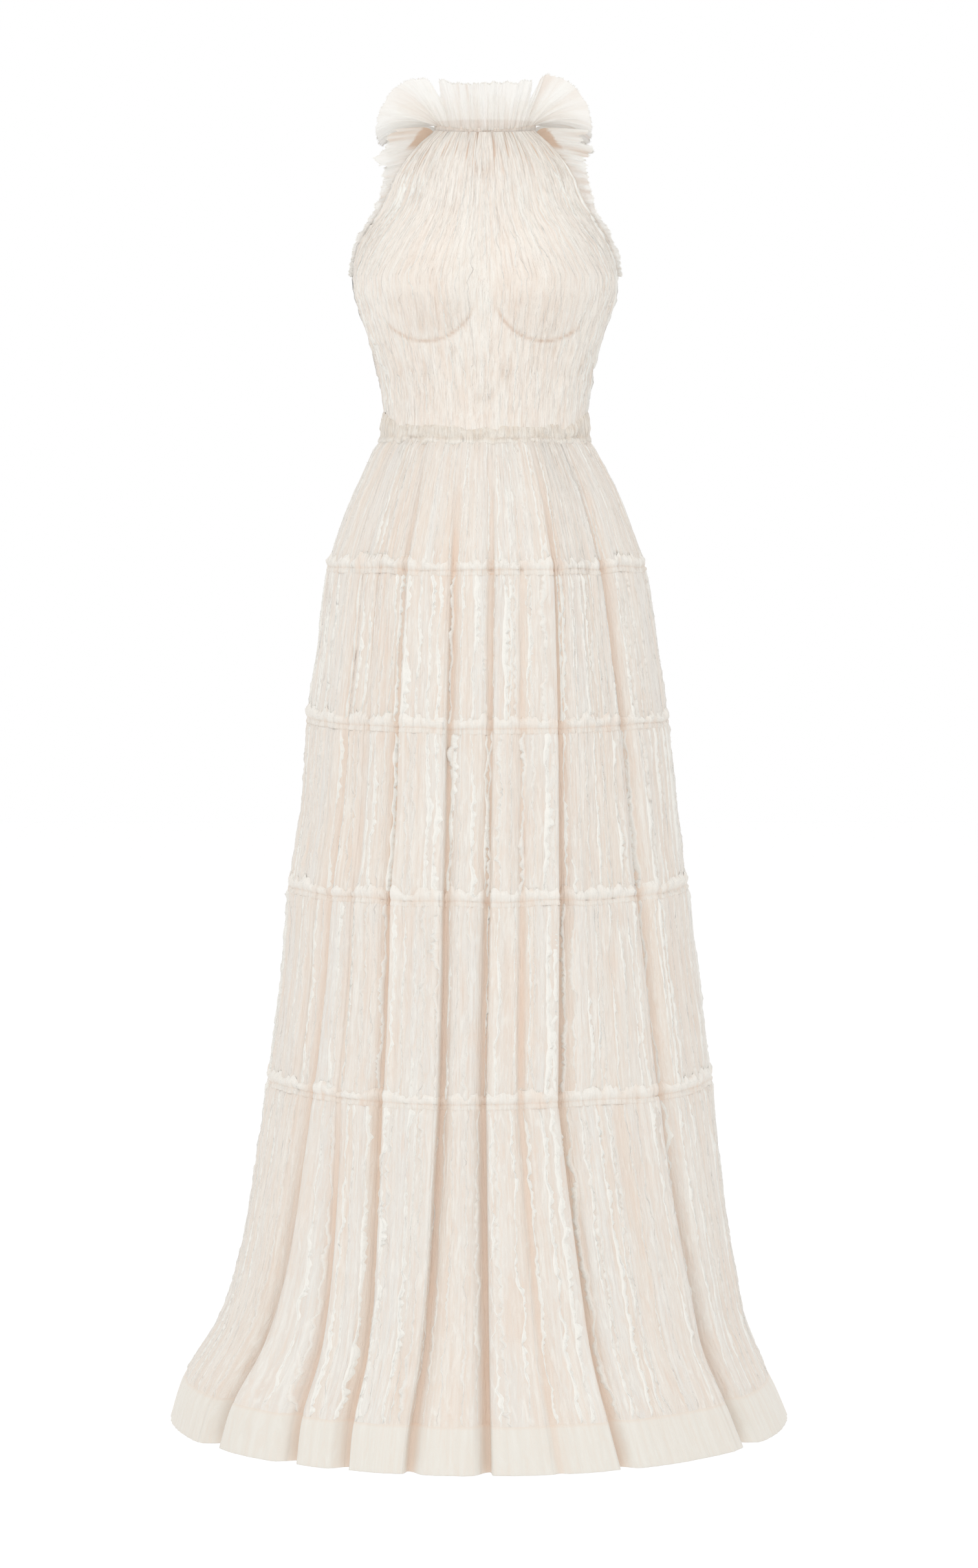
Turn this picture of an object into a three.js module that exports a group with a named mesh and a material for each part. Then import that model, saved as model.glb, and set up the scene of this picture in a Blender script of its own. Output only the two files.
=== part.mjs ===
// A sleeveless halter maxi dress of crinkled gauze, held open in the shape that it is worn in.
// Units are millimetres. The origin is the middle of the neckband, +Z is up, the front faces -Y
// and the wearer's left side is +X. Angles are degrees round the body: 0 is the middle of the
// front, 90 the left side seam, 180 the middle of the back and -90 the right side seam.
import * as THREE from "three";

const CLOTH_WALL = 2.2;
const FRILL_WALL = 1.5;
const SEAM_GAP = 0.3;
const LAY_GAP = 0.6;

const NECK_TILT = 6;
const TILT_FADES = 60;
const NECKBAND_HEIGHT = 8;
const WAIST_TOP = -342;
const WAIST_SEAM = -361;
const SEAM_1 = -511;
const SEAM_2 = -690;
const SEAM_3 = -885;
const SEAM_4 = -1114;
const HEM_BAND_TOP = -1466;
const HEM = -1518;
const UNDERARM = -175;

const CUP = {
  x: 68,
  z: -188,
  lift: 27,
  across: 66,
  above: 100,
  below: 64,
  fullness: 1.6,
  fadesIn: 40,
};
const CUP_WIRE = {
  drop: 3,
  radius: 58,
  inner: -14,
  outer: -142,
  width: 5,
  height: 2,
  lay: 1.6,
  steps: 18,
};
const GATHER = { height: 1.3, fadesAt: -95 };

const ZIP = { width: 6, top: -14, bottom: -508, wall: 2.2 };
const ZIP_LEVELS = [-30, -60, -100, -150, -200, -250, -300, -342, -361, -390, -430, -470];
const SLIDER = { width: 5, height: 9, depth: 4, z: -26, slopeAbove: 8 };
const PULL = { width: 5, taper: 0.8, length: 24, thickness: 1.2, clearance: 0.7, gap: 0.9 };

// Level rings of the cloth, from the neck to the hem: half the width on each side of the body,
// and the depth in front and behind.
const RINGS = [
  { z: 10, right: 58, left: 58, front: 50, back: 50 },
  { z: -4, right: 60, left: 60, front: 51, back: 53 },
  { z: -24, right: 88, left: 88, front: 59, back: 62 },
  { z: -48, right: 116, left: 116, front: 69, back: 73 },
  { z: -74, right: 136, left: 136, front: 78, back: 82 },
  { z: -110, right: 149, left: 149, front: 88, back: 90 },
  { z: -150, right: 152, left: 152, front: 96, back: 94 },
  { z: -190, right: 151, left: 152, front: 99, back: 93 },
  { z: -221, right: 143, left: 144, front: 95, back: 90 },
  { z: -258, right: 131, left: 132, front: 90, back: 85 },
  { z: -294, right: 121, left: 123, front: 86, back: 81 },
  { z: -342, right: 117, left: 118, front: 84, back: 79 },
  { z: -361, right: 119, left: 119, front: 86, back: 81 },
  { z: -376, right: 128, left: 127, front: 93, back: 93 },
  { z: -423, right: 150, left: 153, front: 111, back: 118 },
  { z: -469, right: 169, left: 171, front: 129, back: 139 },
  { z: -511, right: 182, left: 185, front: 143, back: 152 },
  { z: -606, right: 195, left: 201, front: 160, back: 166 },
  { z: -690, right: 206, left: 213, front: 171, back: 176 },
  { z: -788, right: 214, left: 224, front: 182, back: 186 },
  { z: -885, right: 229, left: 235, front: 193, back: 197 },
  { z: -971, right: 236, left: 246, front: 203, back: 207 },
  { z: -1114, right: 254, left: 264, front: 219, back: 223 },
  { z: -1244, right: 274, left: 280, front: 238, back: 242 },
  { z: -1335, right: 291, left: 294, front: 254, back: 259 },
  { z: -1400, right: 314, left: 307, front: 272, back: 276 },
  { z: -1466, right: 354, left: 335, front: 300, back: 304 },
  { z: -1518, right: 371, left: 357, front: 318, back: 322 },
];

// Where the armhole crosses each level, as the angle from the middle of the front or the back.
const ARMHOLE = [
  { z: 10, angle: 72 },
  { z: -24, angle: 62 },
  { z: -74, angle: 57 },
  { z: -100, angle: 60 },
  { z: -125, angle: 69 },
  { z: -150, angle: 80 },
  { z: UNDERARM, angle: 90 },
];

// The large vertical folds of the skirt: the angle of each valley and how far it sinks, at the
// first tier seam, at the fourth one and at the hem. Between two valleys the cloth rounds out.
const FOLDS = [
  { angle1: -50, angle4: -52, angleHem: -57, depth1: 1, depth4: 9, depthHem: 24 },
  { angle1: -41, angle4: -41, angleHem: -36, depth1: 0, depth4: 4, depthHem: 15 },
  { angle1: -30, angle4: -28, angleHem: -25, depth1: 5, depth4: 9, depthHem: 16 },
  { angle1: -12, angle4: -12, angleHem: -14, depth1: 5, depth4: 9, depthHem: 14 },
  { angle1: 3, angle4: 0, angleHem: 1, depth1: 6, depth4: 10, depthHem: 17 },
  { angle1: 13, angle4: 9, angleHem: 14, depth1: 2, depth4: 8, depthHem: 6 },
  { angle1: 26, angle4: 19, angleHem: 26, depth1: 6, depth4: 10, depthHem: 14 },
  { angle1: 47, angle4: 50, angleHem: 58, depth1: 6, depth4: 10, depthHem: 24 },
  { angle1: 108, angle4: 110, angleHem: 112, depth1: 4, depth4: 9, depthHem: 20 },
  { angle1: 126, angle4: 127, angleHem: 129, depth1: 5, depth4: 10, depthHem: 17 },
  { angle1: 143, angle4: 145, angleHem: 146, depth1: 3, depth4: 8, depthHem: 19 },
  { angle1: 163, angle4: 164, angleHem: 166, depth1: 5, depth4: 10, depthHem: 16 },
  { angle1: 198, angle4: 195, angleHem: 196, depth1: 5, depth4: 9, depthHem: 18 },
  { angle1: 214, angle4: 213, angleHem: 211, depth1: 2, depth4: 8, depthHem: 14 },
  { angle1: 233, angle4: 231, angleHem: 232, depth1: 5, depth4: 10, depthHem: 20 },
  { angle1: 251, angle4: 250, angleHem: 249, depth1: 4, depth4: 9, depthHem: 18 },
];
const VALLEY_REACH = 0.56;
const COLUMN_SPACING = 6.5;
const LEAST_COLUMNS = 4;

const TIERS = [
  { name: "tier_1", top: WAIST_SEAM, bottom: SEAM_1, rows: 4 },
  { name: "tier_2", top: SEAM_1, bottom: SEAM_2, rows: 2 },
  { name: "tier_3", top: SEAM_2, bottom: SEAM_3, rows: 2 },
  { name: "tier_4", top: SEAM_3, bottom: SEAM_4, rows: 2 },
  { name: "tier_5", top: SEAM_4, bottom: HEM_BAND_TOP, rows: 4 },
  { name: "hem_band", top: HEM_BAND_TOP, bottom: HEM, rows: 1 },
];
const WAIST = { columns: 60, bandOut: [1, 1], above: 10, below: 4, frillOut: [3.2, 7], wave: 1.4 };
const HEADING = { above: 15, below: 5, wall: 1.8, standOff: 3, wave: 1.6 };

// The neck frill at each angle from the middle of the front: how far it leans out from upright,
// and how wide the strip is there.
const NECK_FRILL = [
  { angle: 0, lean: 8, width: 55 },
  { angle: 38, lean: 17, width: 62 },
  { angle: 50, lean: 27, width: 65 },
  { angle: 60, lean: 46, width: 68 },
  { angle: 75, lean: 66, width: 69 },
  { angle: 92, lean: 87, width: 66 },
  { angle: 115, lean: 73, width: 62 },
  { angle: 145, lean: 62, width: 58 },
  { angle: 180, lean: 57, width: 54 },
];
const NECK_WAVES = { count: 40, standOff: 0.6, atBase: 0.6, atEdge: 5 };

// The armhole frill, by its share of the way from the neck to the underarm.
const ARM_FRILL = [
  { share: 0, width: 56 },
  { share: 0.1, width: 44 },
  { share: 0.22, width: 28 },
  { share: 0.34, width: 12 },
  { share: 0.6, width: 9 },
  { share: 1, width: 6 },
];
const ARM_WAVES = { count: 22, least: 1.2, atEdge: 0.1, most: 5, start: 0.03, clear: 1.2 };
const ARM_LEAN = { deep: 120, most: 0.25 };
const CHEST = { across: 150, deep: 90 };

const CREAM = 0xf1e8dc;
const METAL = 0xd8d2c6;
const gauze = new THREE.MeshStandardMaterial({ color: CREAM, roughness: 0.9, metalness: 0 });
const hemCloth = new THREE.MeshStandardMaterial({ color: 0xf4ecdc, roughness: 0.85, metalness: 0 });
const zipMetal = new THREE.MeshStandardMaterial({ color: METAL, roughness: 0.45, metalness: 0.4 });

const dress = new THREE.Group();
const { degToRad, lerp, clamp } = THREE.MathUtils;

// A smooth curve through one column of a table, read at a value of its key column.
function read(table, key, column, at) {
  const rising = table[table.length - 1][key] > table[0][key];
  const rows = rising ? table : [...table].reverse();
  const value = clamp(at, rows[0][key], rows[rows.length - 1][key]);
  let i = 0;
  while (i < rows.length - 2 && rows[i + 1][key] < value) i += 1;
  const slope = (n) => {
    const before = rows[Math.max(0, n - 1)];
    const after = rows[Math.min(rows.length - 1, n + 1)];
    return (after[column] - before[column]) / (after[key] - before[key]);
  };
  const span = rows[i + 1][key] - rows[i][key];
  const t = (value - rows[i][key]) / span;
  const start = rows[i][column];
  const end = rows[i + 1][column];
  return (
    start * (1 + 2 * t) * (1 - t) ** 2 +
    end * t * t * (3 - 2 * t) +
    slope(i) * span * t * (1 - t) ** 2 -
    slope(i + 1) * span * t * t * (1 - t)
  );
}

const polar = (angle) => [Math.sin(degToRad(angle)), -Math.cos(degToRad(angle))];

// A point of the body's outline at an angle and a height, moved outwards by some millimetres.
function ringPoint(angle, z, out) {
  const [x, y] = polar(angle);
  const across = read(RINGS, "z", x < 0 ? "right" : "left", z);
  const deep = read(RINGS, "z", y < 0 ? "front" : "back", z);
  const normal = new THREE.Vector3(x / across, y / deep, 0).normalize();
  return new THREE.Vector3(across * x, deep * y, z).addScaledVector(normal, out);
}

// How far a bust cup lifts the front at a point.
function cupLift(x, z) {
  const across = (Math.abs(x) - CUP.x) / CUP.across;
  const height = (z - CUP.z) / (z > CUP.z ? CUP.above : CUP.below);
  const inside = 1 - across * across - height * height;
  return inside > 0 ? CUP.lift * inside ** CUP.fullness : 0;
}

function torsoPoint(angle, z, out) {
  const point = ringPoint(angle, z, out);
  if (point.y < 0) point.y -= cupLift(point.x, z) * clamp(-point.y / CUP.fadesIn, 0, 1);
  return point;
}

// The height of the neck seam, lower in front than behind.
const neckHeight = (angle) => -NECK_TILT * Math.cos(degToRad(angle));

// A closed wall over a grid of points: at(column, row, inset) gives the outer face with inset 0
// and the inner face with inset 1. A ring joins its last column to its first.
function wall(columns, rows, at, ring = false) {
  const positions = [];
  const index = [];
  const across = ring ? columns : columns + 1;
  const place = (c, r, inset) => (inset * (rows + 1) + r) * across + (c % across);
  for (const inset of [0, 1]) {
    for (let r = 0; r <= rows; r += 1) {
      for (let c = 0; c < across; c += 1) positions.push(...at(c, r, inset).toArray());
    }
  }
  const quad = (a, b, c, d) => index.push(a, b, c, a, c, d);
  for (let c = 0; c < columns; c += 1) {
    for (let r = 0; r < rows; r += 1) {
      quad(place(c, r, 0), place(c, r + 1, 0), place(c + 1, r + 1, 0), place(c + 1, r, 0));
      quad(place(c, r, 1), place(c + 1, r, 1), place(c + 1, r + 1, 1), place(c, r + 1, 1));
    }
    quad(place(c, 0, 0), place(c + 1, 0, 0), place(c + 1, 0, 1), place(c, 0, 1));
    quad(place(c, rows, 0), place(c, rows, 1), place(c + 1, rows, 1), place(c + 1, rows, 0));
  }
  if (!ring) {
    for (let r = 0; r < rows; r += 1) {
      quad(place(0, r, 0), place(0, r, 1), place(0, r + 1, 1), place(0, r + 1, 0));
      quad(
        place(columns, r, 0),
        place(columns, r + 1, 0),
        place(columns, r + 1, 1),
        place(columns, r, 1),
      );
    }
  }
  return facingOut(positions, index);
}

// A geometry from points and triangles, with its faces turned outwards.
function facingOut(positions, index) {
  const corner = (i) => new THREE.Vector3(...positions.slice(3 * i, 3 * i + 3));
  let volume = 0;
  for (let i = 0; i < index.length; i += 3) {
    const [a, b, c] = [corner(index[i]), corner(index[i + 1]), corner(index[i + 2])];
    volume += a.dot(b.cross(c));
  }
  if (volume < 0) {
    for (let i = 0; i < index.length; i += 3) {
      [index[i + 1], index[i + 2]] = [index[i + 2], index[i + 1]];
    }
  }
  const geometry = new THREE.BufferGeometry();
  geometry.setAttribute("position", new THREE.Float32BufferAttribute(positions, 3));
  geometry.setIndex(index);
  geometry.computeVertexNormals();
  return geometry;
}

function addPiece(name, geometry, material) {
  const mesh = new THREE.Mesh(geometry, material);
  mesh.name = name;
  dress.add(mesh);
  return mesh;
}

// The bodice, from the neck seam to the waist band.
const BODICE_LEVELS = [0, -18, -38, -60, -85, -112, -138, -158, UNDERARM, -202, -230, -262, -300];

function bodiceLevel(row, angle) {
  if (row === BODICE_LEVELS.length) return WAIST_TOP + SEAM_GAP / 2;
  const level = BODICE_LEVELS[row];
  const top = neckHeight(angle) - NECKBAND_HEIGHT / 2 - SEAM_GAP;
  return level + top * clamp(1 + level / TILT_FADES, 0, 1);
}

function gather(column, z) {
  const fade = clamp(1 - z / GATHER.fadesAt, 0, 1);
  return (column % 2 ? -1 : 1) * GATHER.height * fade;
}

const FRONT_COLUMNS = 24;

const armholeAngle = (z) => read(ARMHOLE, "z", "angle", Math.max(z, UNDERARM));

function bodiceFrontPoint(c, r, out) {
  const share = (2 * c) / FRONT_COLUMNS - 1;
  const angle = share * armholeAngle(BODICE_LEVELS[r] ?? WAIST_TOP);
  const z = bodiceLevel(r, angle);
  const point = torsoPoint(angle, z, gather(c, z) + out);
  if (c === 0 || c === FRONT_COLUMNS) point.y -= SEAM_GAP / 2;
  return point;
}

function bodiceFront() {
  return wall(FRONT_COLUMNS, BODICE_LEVELS.length, (c, r, inset) =>
    bodiceFrontPoint(c, r, -inset * CLOTH_WALL),
  );
}

// A point between the grid points of the front, moved out: what lies on the front uses it.
function onBodiceFront(x, z, out) {
  const row = BODICE_LEVELS.findIndex((level) => level < z) - 1;
  const down = (BODICE_LEVELS[row] - z) / (BODICE_LEVELS[row] - BODICE_LEVELS[row + 1]);
  const across = read(RINGS, "z", "left", z);
  const angle = THREE.MathUtils.radToDeg(Math.asin(x / across));
  const column = ((angle / armholeAngle(z) + 1) / 2) * FRONT_COLUMNS;
  const c = Math.floor(column);
  const upper = bodiceFrontPoint(c, row, out).lerp(bodiceFrontPoint(c + 1, row, out), column - c);
  const lower = bodiceFrontPoint(c, row + 1, out).lerp(
    bodiceFrontPoint(c + 1, row + 1, out),
    column - c,
  );
  return upper.lerp(lower, down);
}

function bodiceBack(side) {
  const columns = 12;
  return wall(columns, BODICE_LEVELS.length, (c, r, inset) => {
    const reach = armholeAngle(BODICE_LEVELS[r] ?? WAIST_TOP);
    const angle = side * (180 - reach * (1 - c / columns));
    const z = bodiceLevel(r, angle);
    const point = torsoPoint(angle, z, gather(c, z) - inset * CLOTH_WALL);
    if (c === 0) point.y += SEAM_GAP / 2;
    if (c === columns) point.x = side * (ZIP.width / 2 + SEAM_GAP);
    return point;
  });
}

// The channel of a bust wire: an arc that lies on the outside of the front.
function cupWire(side) {
  return wall(CUP_WIRE.steps, 1, (c, r, inset) => {
    const turn = degToRad(lerp(CUP_WIRE.inner, CUP_WIRE.outer, c / CUP_WIRE.steps));
    const radius = CUP_WIRE.radius + (r - 0.5) * CUP_WIRE.width;
    const x = CUP.x - radius * Math.cos(turn);
    const z = CUP.z - CUP_WIRE.drop + radius * Math.sin(turn);
    return onBodiceFront(side * x, z, CUP_WIRE.lay + (1 - inset) * CUP_WIRE.height);
  });
}

// A point of the neck seam, moved outwards and upwards.
function neckPoint(angle, out, up) {
  const point = ringPoint(angle, 0, out);
  point.z = neckHeight(angle) + up;
  return point;
}

function neckband() {
  const columns = 36;
  const opening = 1.2;
  return wall(columns, 1, (c, r, inset) => {
    const angle = lerp(-180 + opening, 180 - opening, c / columns);
    return neckPoint(angle, 1 - inset * CLOTH_WALL, (0.5 - r) * NECKBAND_HEIGHT);
  });
}

function neckFrill() {
  const columns = NECK_WAVES.count * 4;
  const rows = 1;
  const opening = 2;
  return wall(columns, rows, (c, r, inset) => {
    const angle = lerp(-180 + opening, 180 - opening, c / columns);
    const reach = r / rows;
    const lean = degToRad(read(NECK_FRILL, "angle", "lean", Math.abs(angle)));
    const width = read(NECK_FRILL, "angle", "width", Math.abs(angle));
    const wave = Math.sin((c * Math.PI) / 2) * lerp(NECK_WAVES.atBase, NECK_WAVES.atEdge, reach);
    const offset = wave - inset * FRILL_WALL;
    const [x, y] = polar(angle);
    const up = NECKBAND_HEIGHT / 2 + SEAM_GAP + NECK_WAVES.atBase;
    const point = neckPoint(angle, NECK_WAVES.standOff, up);
    const outwards = width * reach * Math.sin(lean) + offset * Math.cos(lean);
    point.x += x * outwards;
    point.y += y * outwards;
    point.z += width * reach * Math.cos(lean) - offset * Math.sin(lean);
    return point;
  });
}

// The armhole edge of one side, from the front of the neck, round the underarm, to the back of
// the neck, along the middle of the walls of the panels.
function armholeEdge(side) {
  const underarm = BODICE_LEVELS.indexOf(UNDERARM);
  const edge = (r, back) => {
    const angle = armholeAngle(BODICE_LEVELS[r]);
    const turned = side * (back ? 180 - angle : angle);
    return torsoPoint(turned, bodiceLevel(r, turned), gather(0, BODICE_LEVELS[r]) - CLOTH_WALL / 2);
  };
  const path = new THREE.CurvePath();
  const corners = [];
  for (let r = 0; r <= underarm; r += 1) corners.push(edge(r, false));
  for (let r = underarm - 1; r >= 0; r -= 1) corners.push(edge(r, true));
  corners.slice(1).forEach((corner, i) => path.add(new THREE.LineCurve3(corners[i], corner)));
  return path;
}

function armholeFrill(side) {
  const edge = armholeEdge(side);
  const columns = ARM_WAVES.count * 4;
  const shareOf = (c) => lerp(ARM_WAVES.start, 1 - ARM_WAVES.start, clamp(c / columns, 0, 1));
  const along = (c) => edge.getPointAt(shareOf(c + 2)).sub(edge.getPointAt(shareOf(c - 2)));
  return wall(columns, 1, (c, r, inset) => {
    const base = edge.getPointAt(shareOf(c));
    const down = 1 - Math.abs(2 * shareOf(c) - 1);
    const width = read(ARM_FRILL, "share", "width", down);
    const tangent = along(c).normalize();
    const faceOut = new THREE.Vector3(base.x / CHEST.across ** 2, base.y / CHEST.deep ** 2, 0);
    faceOut.normalize();
    const clear = tangent.clone().cross(faceOut).normalize();
    if (clear.x * side + clear.z < 0) clear.negate();
    const back = clamp(base.y / ARM_LEAN.deep, -ARM_LEAN.most, ARM_LEAN.most);
    const outwards = new THREE.Vector3(side, back, 0).normalize();
    const normal = tangent.cross(outwards).normalize();
    const amplitude = Math.min(ARM_WAVES.most, ARM_WAVES.least + width * ARM_WAVES.atEdge);
    const wave = r * Math.sin((c * Math.PI) / 2) * amplitude;
    return base
      .addScaledVector(clear, ARM_WAVES.clear)
      .addScaledVector(outwards, r * width)
      .addScaledVector(normal, wave + (0.5 - inset) * FRILL_WALL);
  });
}

// The skirt's columns run down its valleys and over the cloth between them, so that each valley
// and each side seam has a column of its own.
function valleyAngle(fold, z) {
  if (fold.seam !== undefined) return fold.seam;
  if (z > SEAM_4) {
    return lerp(fold.angle1, fold.angle4, clamp((SEAM_1 - z) / (SEAM_1 - SEAM_4), 0, 1));
  }
  return lerp(fold.angle4, fold.angleHem, clamp((SEAM_4 - z) / (SEAM_4 - HEM), 0, 1));
}

function valleyDepth(fold, z) {
  if (fold.seam !== undefined) return 0;
  if (z > SEAM_1) return fold.depth1 * clamp((WAIST_SEAM - z) / (WAIST_SEAM - SEAM_1), 0, 1);
  if (z > SEAM_4) return lerp(fold.depth1, fold.depth4, (SEAM_1 - z) / (SEAM_1 - SEAM_4));
  return lerp(fold.depth4, fold.depthHem, clamp((SEAM_4 - z) / (SEAM_4 - HEM), 0, 1));
}

function skirtColumns(from, to) {
  const inside = FOLDS.filter((fold) => fold.angle4 > from && fold.angle4 < to);
  const lines = [{ seam: from }, ...inside, { seam: to }];
  const columns = [];
  for (let i = 0; i < lines.length - 1; i += 1) {
    const [left, right] = [lines[i], lines[i + 1]];
    const gap = valleyAngle(right, HEM) - valleyAngle(left, HEM);
    const count = Math.max(LEAST_COLUMNS, Math.round(gap / COLUMN_SPACING));
    for (let n = 0; n < count; n += 1) columns.push({ left, right, share: n / count });
  }
  columns.push({ left: { seam: to }, right: { seam: to }, share: 0 });
  return columns;
}

const valley = (share) => Math.max(0, 1 - share / VALLEY_REACH) ** 1.5;

function skirtPoint(column, z, out) {
  const { left, right, share } = column;
  const angle = lerp(valleyAngle(left, z), valleyAngle(right, z), share);
  const sunk = valleyDepth(left, z) * valley(share) + valleyDepth(right, z) * valley(1 - share);
  return ringPoint(angle, z, out - sunk);
}

const frontColumns = skirtColumns(-90, 90);
const backColumns = [...skirtColumns(90, 180).slice(0, -1), ...skirtColumns(180, 270)];
const backMiddle = backColumns.findIndex((column) => column.left.seam === 180);

function tierRow(tier, row) {
  const share = row / tier.rows;
  const gap = row === 0 ? -SEAM_GAP / 2 : row === tier.rows ? SEAM_GAP / 2 : 0;
  return lerp(tier.top, tier.bottom, share) + gap;
}

// One panel of a tier over a run of columns. The first and last columns keep clear of the next
// panel: by half a seam gap at a side seam, and by the zip at the middle of the back.
function tierPanel(tier, columns, first, last) {
  return wall(columns.length - 1, tier.rows, (c, r, inset) => {
    const point = skirtPoint(columns[c], tierRow(tier, r), -inset * CLOTH_WALL);
    if (c === 0) first(point);
    if (c === columns.length - 1) last(point);
    return point;
  });
}

const seamShift = (back) => (point) => point.setY(point.y + (back ? 1 : -1) * (SEAM_GAP / 2));
const zipShift = (side) => (point) => point.setX(side * (ZIP.width / 2 + SEAM_GAP));

// The frilled raw edge above a tier seam, with the corded line of stitching at its foot. It is
// made from the points of the panels that it lies on, moved out.
function panelPoint(column, z, out) {
  const tier = TIERS.find((one) => z <= one.top && z > one.bottom);
  const step = (tier.top - tier.bottom) / tier.rows;
  const row = Math.min(Math.floor((tier.top - z) / step), tier.rows - 1);
  const above = skirtPoint(column, tierRow(tier, row), out);
  const below = skirtPoint(column, tierRow(tier, row + 1), out);
  return above.lerp(below, (above.z - z) / (above.z - below.z)).setZ(z);
}

function heading(seam) {
  const columns = [...frontColumns.slice(0, -1), ...backColumns.slice(0, -1)];
  const heights = [HEADING.above, -HEADING.below];
  return wall(
    columns.length,
    1,
    (c, r, inset) => {
      const free = r === 0 ? HEADING.standOff + HEADING.wave * Math.sin((c * Math.PI) / 2) : 0;
      const out = LAY_GAP + (1 - inset) * HEADING.wall + free;
      return panelPoint(columns[c], seam + heights[r], out);
    },
    true,
  );
}

// A point of the straight wall of the waist band, or of the skirt below it.
function waistPoint(angle, z, out) {
  if (z <= WAIST_SEAM) return ringPoint(angle, z, out);
  const share = (WAIST_TOP - z) / (WAIST_TOP - WAIST_SEAM);
  return ringPoint(angle, WAIST_TOP, out).lerp(ringPoint(angle, WAIST_SEAM, out), share);
}

// The band at the waist and the frill along its lower edge, both open at the zip.
function waistRing(top, bottom, out, wave) {
  const columns = WAIST.columns;
  const half = ZIP.width / 2 + SEAM_GAP;
  return wall(columns, 1, (c, r, inset) => {
    const angle = lerp(-180, 180, c / columns);
    const ripple = r * wave * Math.sin((c * Math.PI) / 2);
    const point = waistPoint(angle, r === 0 ? top : bottom, out[r] + ripple - inset * FRILL_WALL);
    if (c === 0) point.x = -half;
    if (c === columns) point.x = half;
    return point;
  });
}

// The closed zip between the back pieces.
function backZip() {
  const levels = [ZIP.top, ...ZIP_LEVELS, ZIP.bottom];
  return wall(1, levels.length - 1, (c, r, inset) => {
    const point = ringPoint(180, levels[r], -inset * ZIP.wall);
    return point.setX((0.5 - c) * ZIP.width);
  });
}

// The slider and its pull lie on the slope of the upper back, in a group turned to that slope.
function zipFittings() {
  const foot = ringPoint(180, SLIDER.z, 0);
  const above = ringPoint(180, SLIDER.z + SLIDER.slopeAbove, 0);
  const below = ringPoint(180, SLIDER.z - PULL.length, 0);
  const slope = Math.atan2(below.y - above.y, above.z - below.z);
  const seat = new THREE.Group();
  seat.position.copy(foot);
  seat.rotation.x = slope;
  const slider = new THREE.Mesh(
    new THREE.BoxGeometry(SLIDER.width, SLIDER.depth, SLIDER.height),
    zipMetal,
  );
  slider.name = "zip_slider";
  slider.position.set(0, SLIDER.depth / 2 + PULL.clearance, 0);
  const outline = new THREE.Shape();
  const narrow = PULL.width / 2 - PULL.taper;
  outline.moveTo(-narrow, 0);
  outline.lineTo(narrow, 0);
  outline.lineTo(PULL.width / 2, -PULL.length + PULL.width / 2);
  outline.absarc(0, -PULL.length + PULL.width / 2, PULL.width / 2, 0, -Math.PI, true);
  outline.closePath();
  const plate = new THREE.ExtrudeGeometry(outline, {
    depth: PULL.thickness,
    bevelEnabled: false,
    curveSegments: 8,
  });
  plate.rotateX(Math.PI / 2);
  const pull = new THREE.Mesh(plate, zipMetal);
  pull.name = "zip_pull";
  const face = SLIDER.depth + PULL.clearance;
  pull.position.set(0, face + PULL.thickness / 2, -SLIDER.height / 2 - PULL.gap);
  seat.add(slider, pull);
  dress.add(seat);
}

addPiece("neckband", neckband(), gauze);
addPiece("neck_frill", neckFrill(), gauze);
addPiece("bodice_front", bodiceFront(), gauze);
const bandTop = WAIST_TOP - SEAM_GAP / 2;
const bandBottom = WAIST_SEAM + SEAM_GAP / 2;
const frillTop = WAIST_SEAM + WAIST.above;
const frillBottom = WAIST_SEAM - WAIST.below;
addPiece("waist_band", waistRing(bandTop, bandBottom, WAIST.bandOut, 0), gauze);
addPiece("waist_frill", waistRing(frillTop, frillBottom, WAIST.frillOut, WAIST.wave), gauze);
for (const [hand, side] of [["left", 1], ["right", -1]]) {
  addPiece("bodice_back_" + hand, bodiceBack(side), gauze);
  addPiece("cup_wire_" + hand, cupWire(side), gauze);
  addPiece("armhole_frill_" + hand, armholeFrill(side), gauze);
}
TIERS.forEach((tier, n) => {
  const cloth = tier.name === "hem_band" ? hemCloth : gauze;
  addPiece(tier.name + "_front", tierPanel(tier, frontColumns, seamShift(0), seamShift(0)), cloth);
  if (n === 0) {
    const left = backColumns.slice(0, backMiddle + 1);
    const right = backColumns.slice(backMiddle);
    addPiece("tier_1_back_left", tierPanel(tier, left, seamShift(1), zipShift(1)), cloth);
    addPiece("tier_1_back_right", tierPanel(tier, right, zipShift(-1), seamShift(1)), cloth);
  } else {
    addPiece(tier.name + "_back", tierPanel(tier, backColumns, seamShift(1), seamShift(1)), cloth);
  }
  if (n > 0 && n < 5) addPiece("heading_" + n, heading(tier.top), gauze);
});
addPiece("back_zip", backZip(), gauze);
zipFittings();

export default dress;
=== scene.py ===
# %% [markdown]
# A halter maxi dress of ivory crinkled gauze, held open in the shape that it is worn in.
# The solids of the dress come in as a frame that already has every size. Each piece of cloth is
# made again here as one thin sheet on the form of its solid, with the folds, tucks, gathers and
# frayed edges that a solid is too coarse for. Sizes are in millimetres, as on a pattern sheet,
# and turned to Blender's metres in one place.

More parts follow.
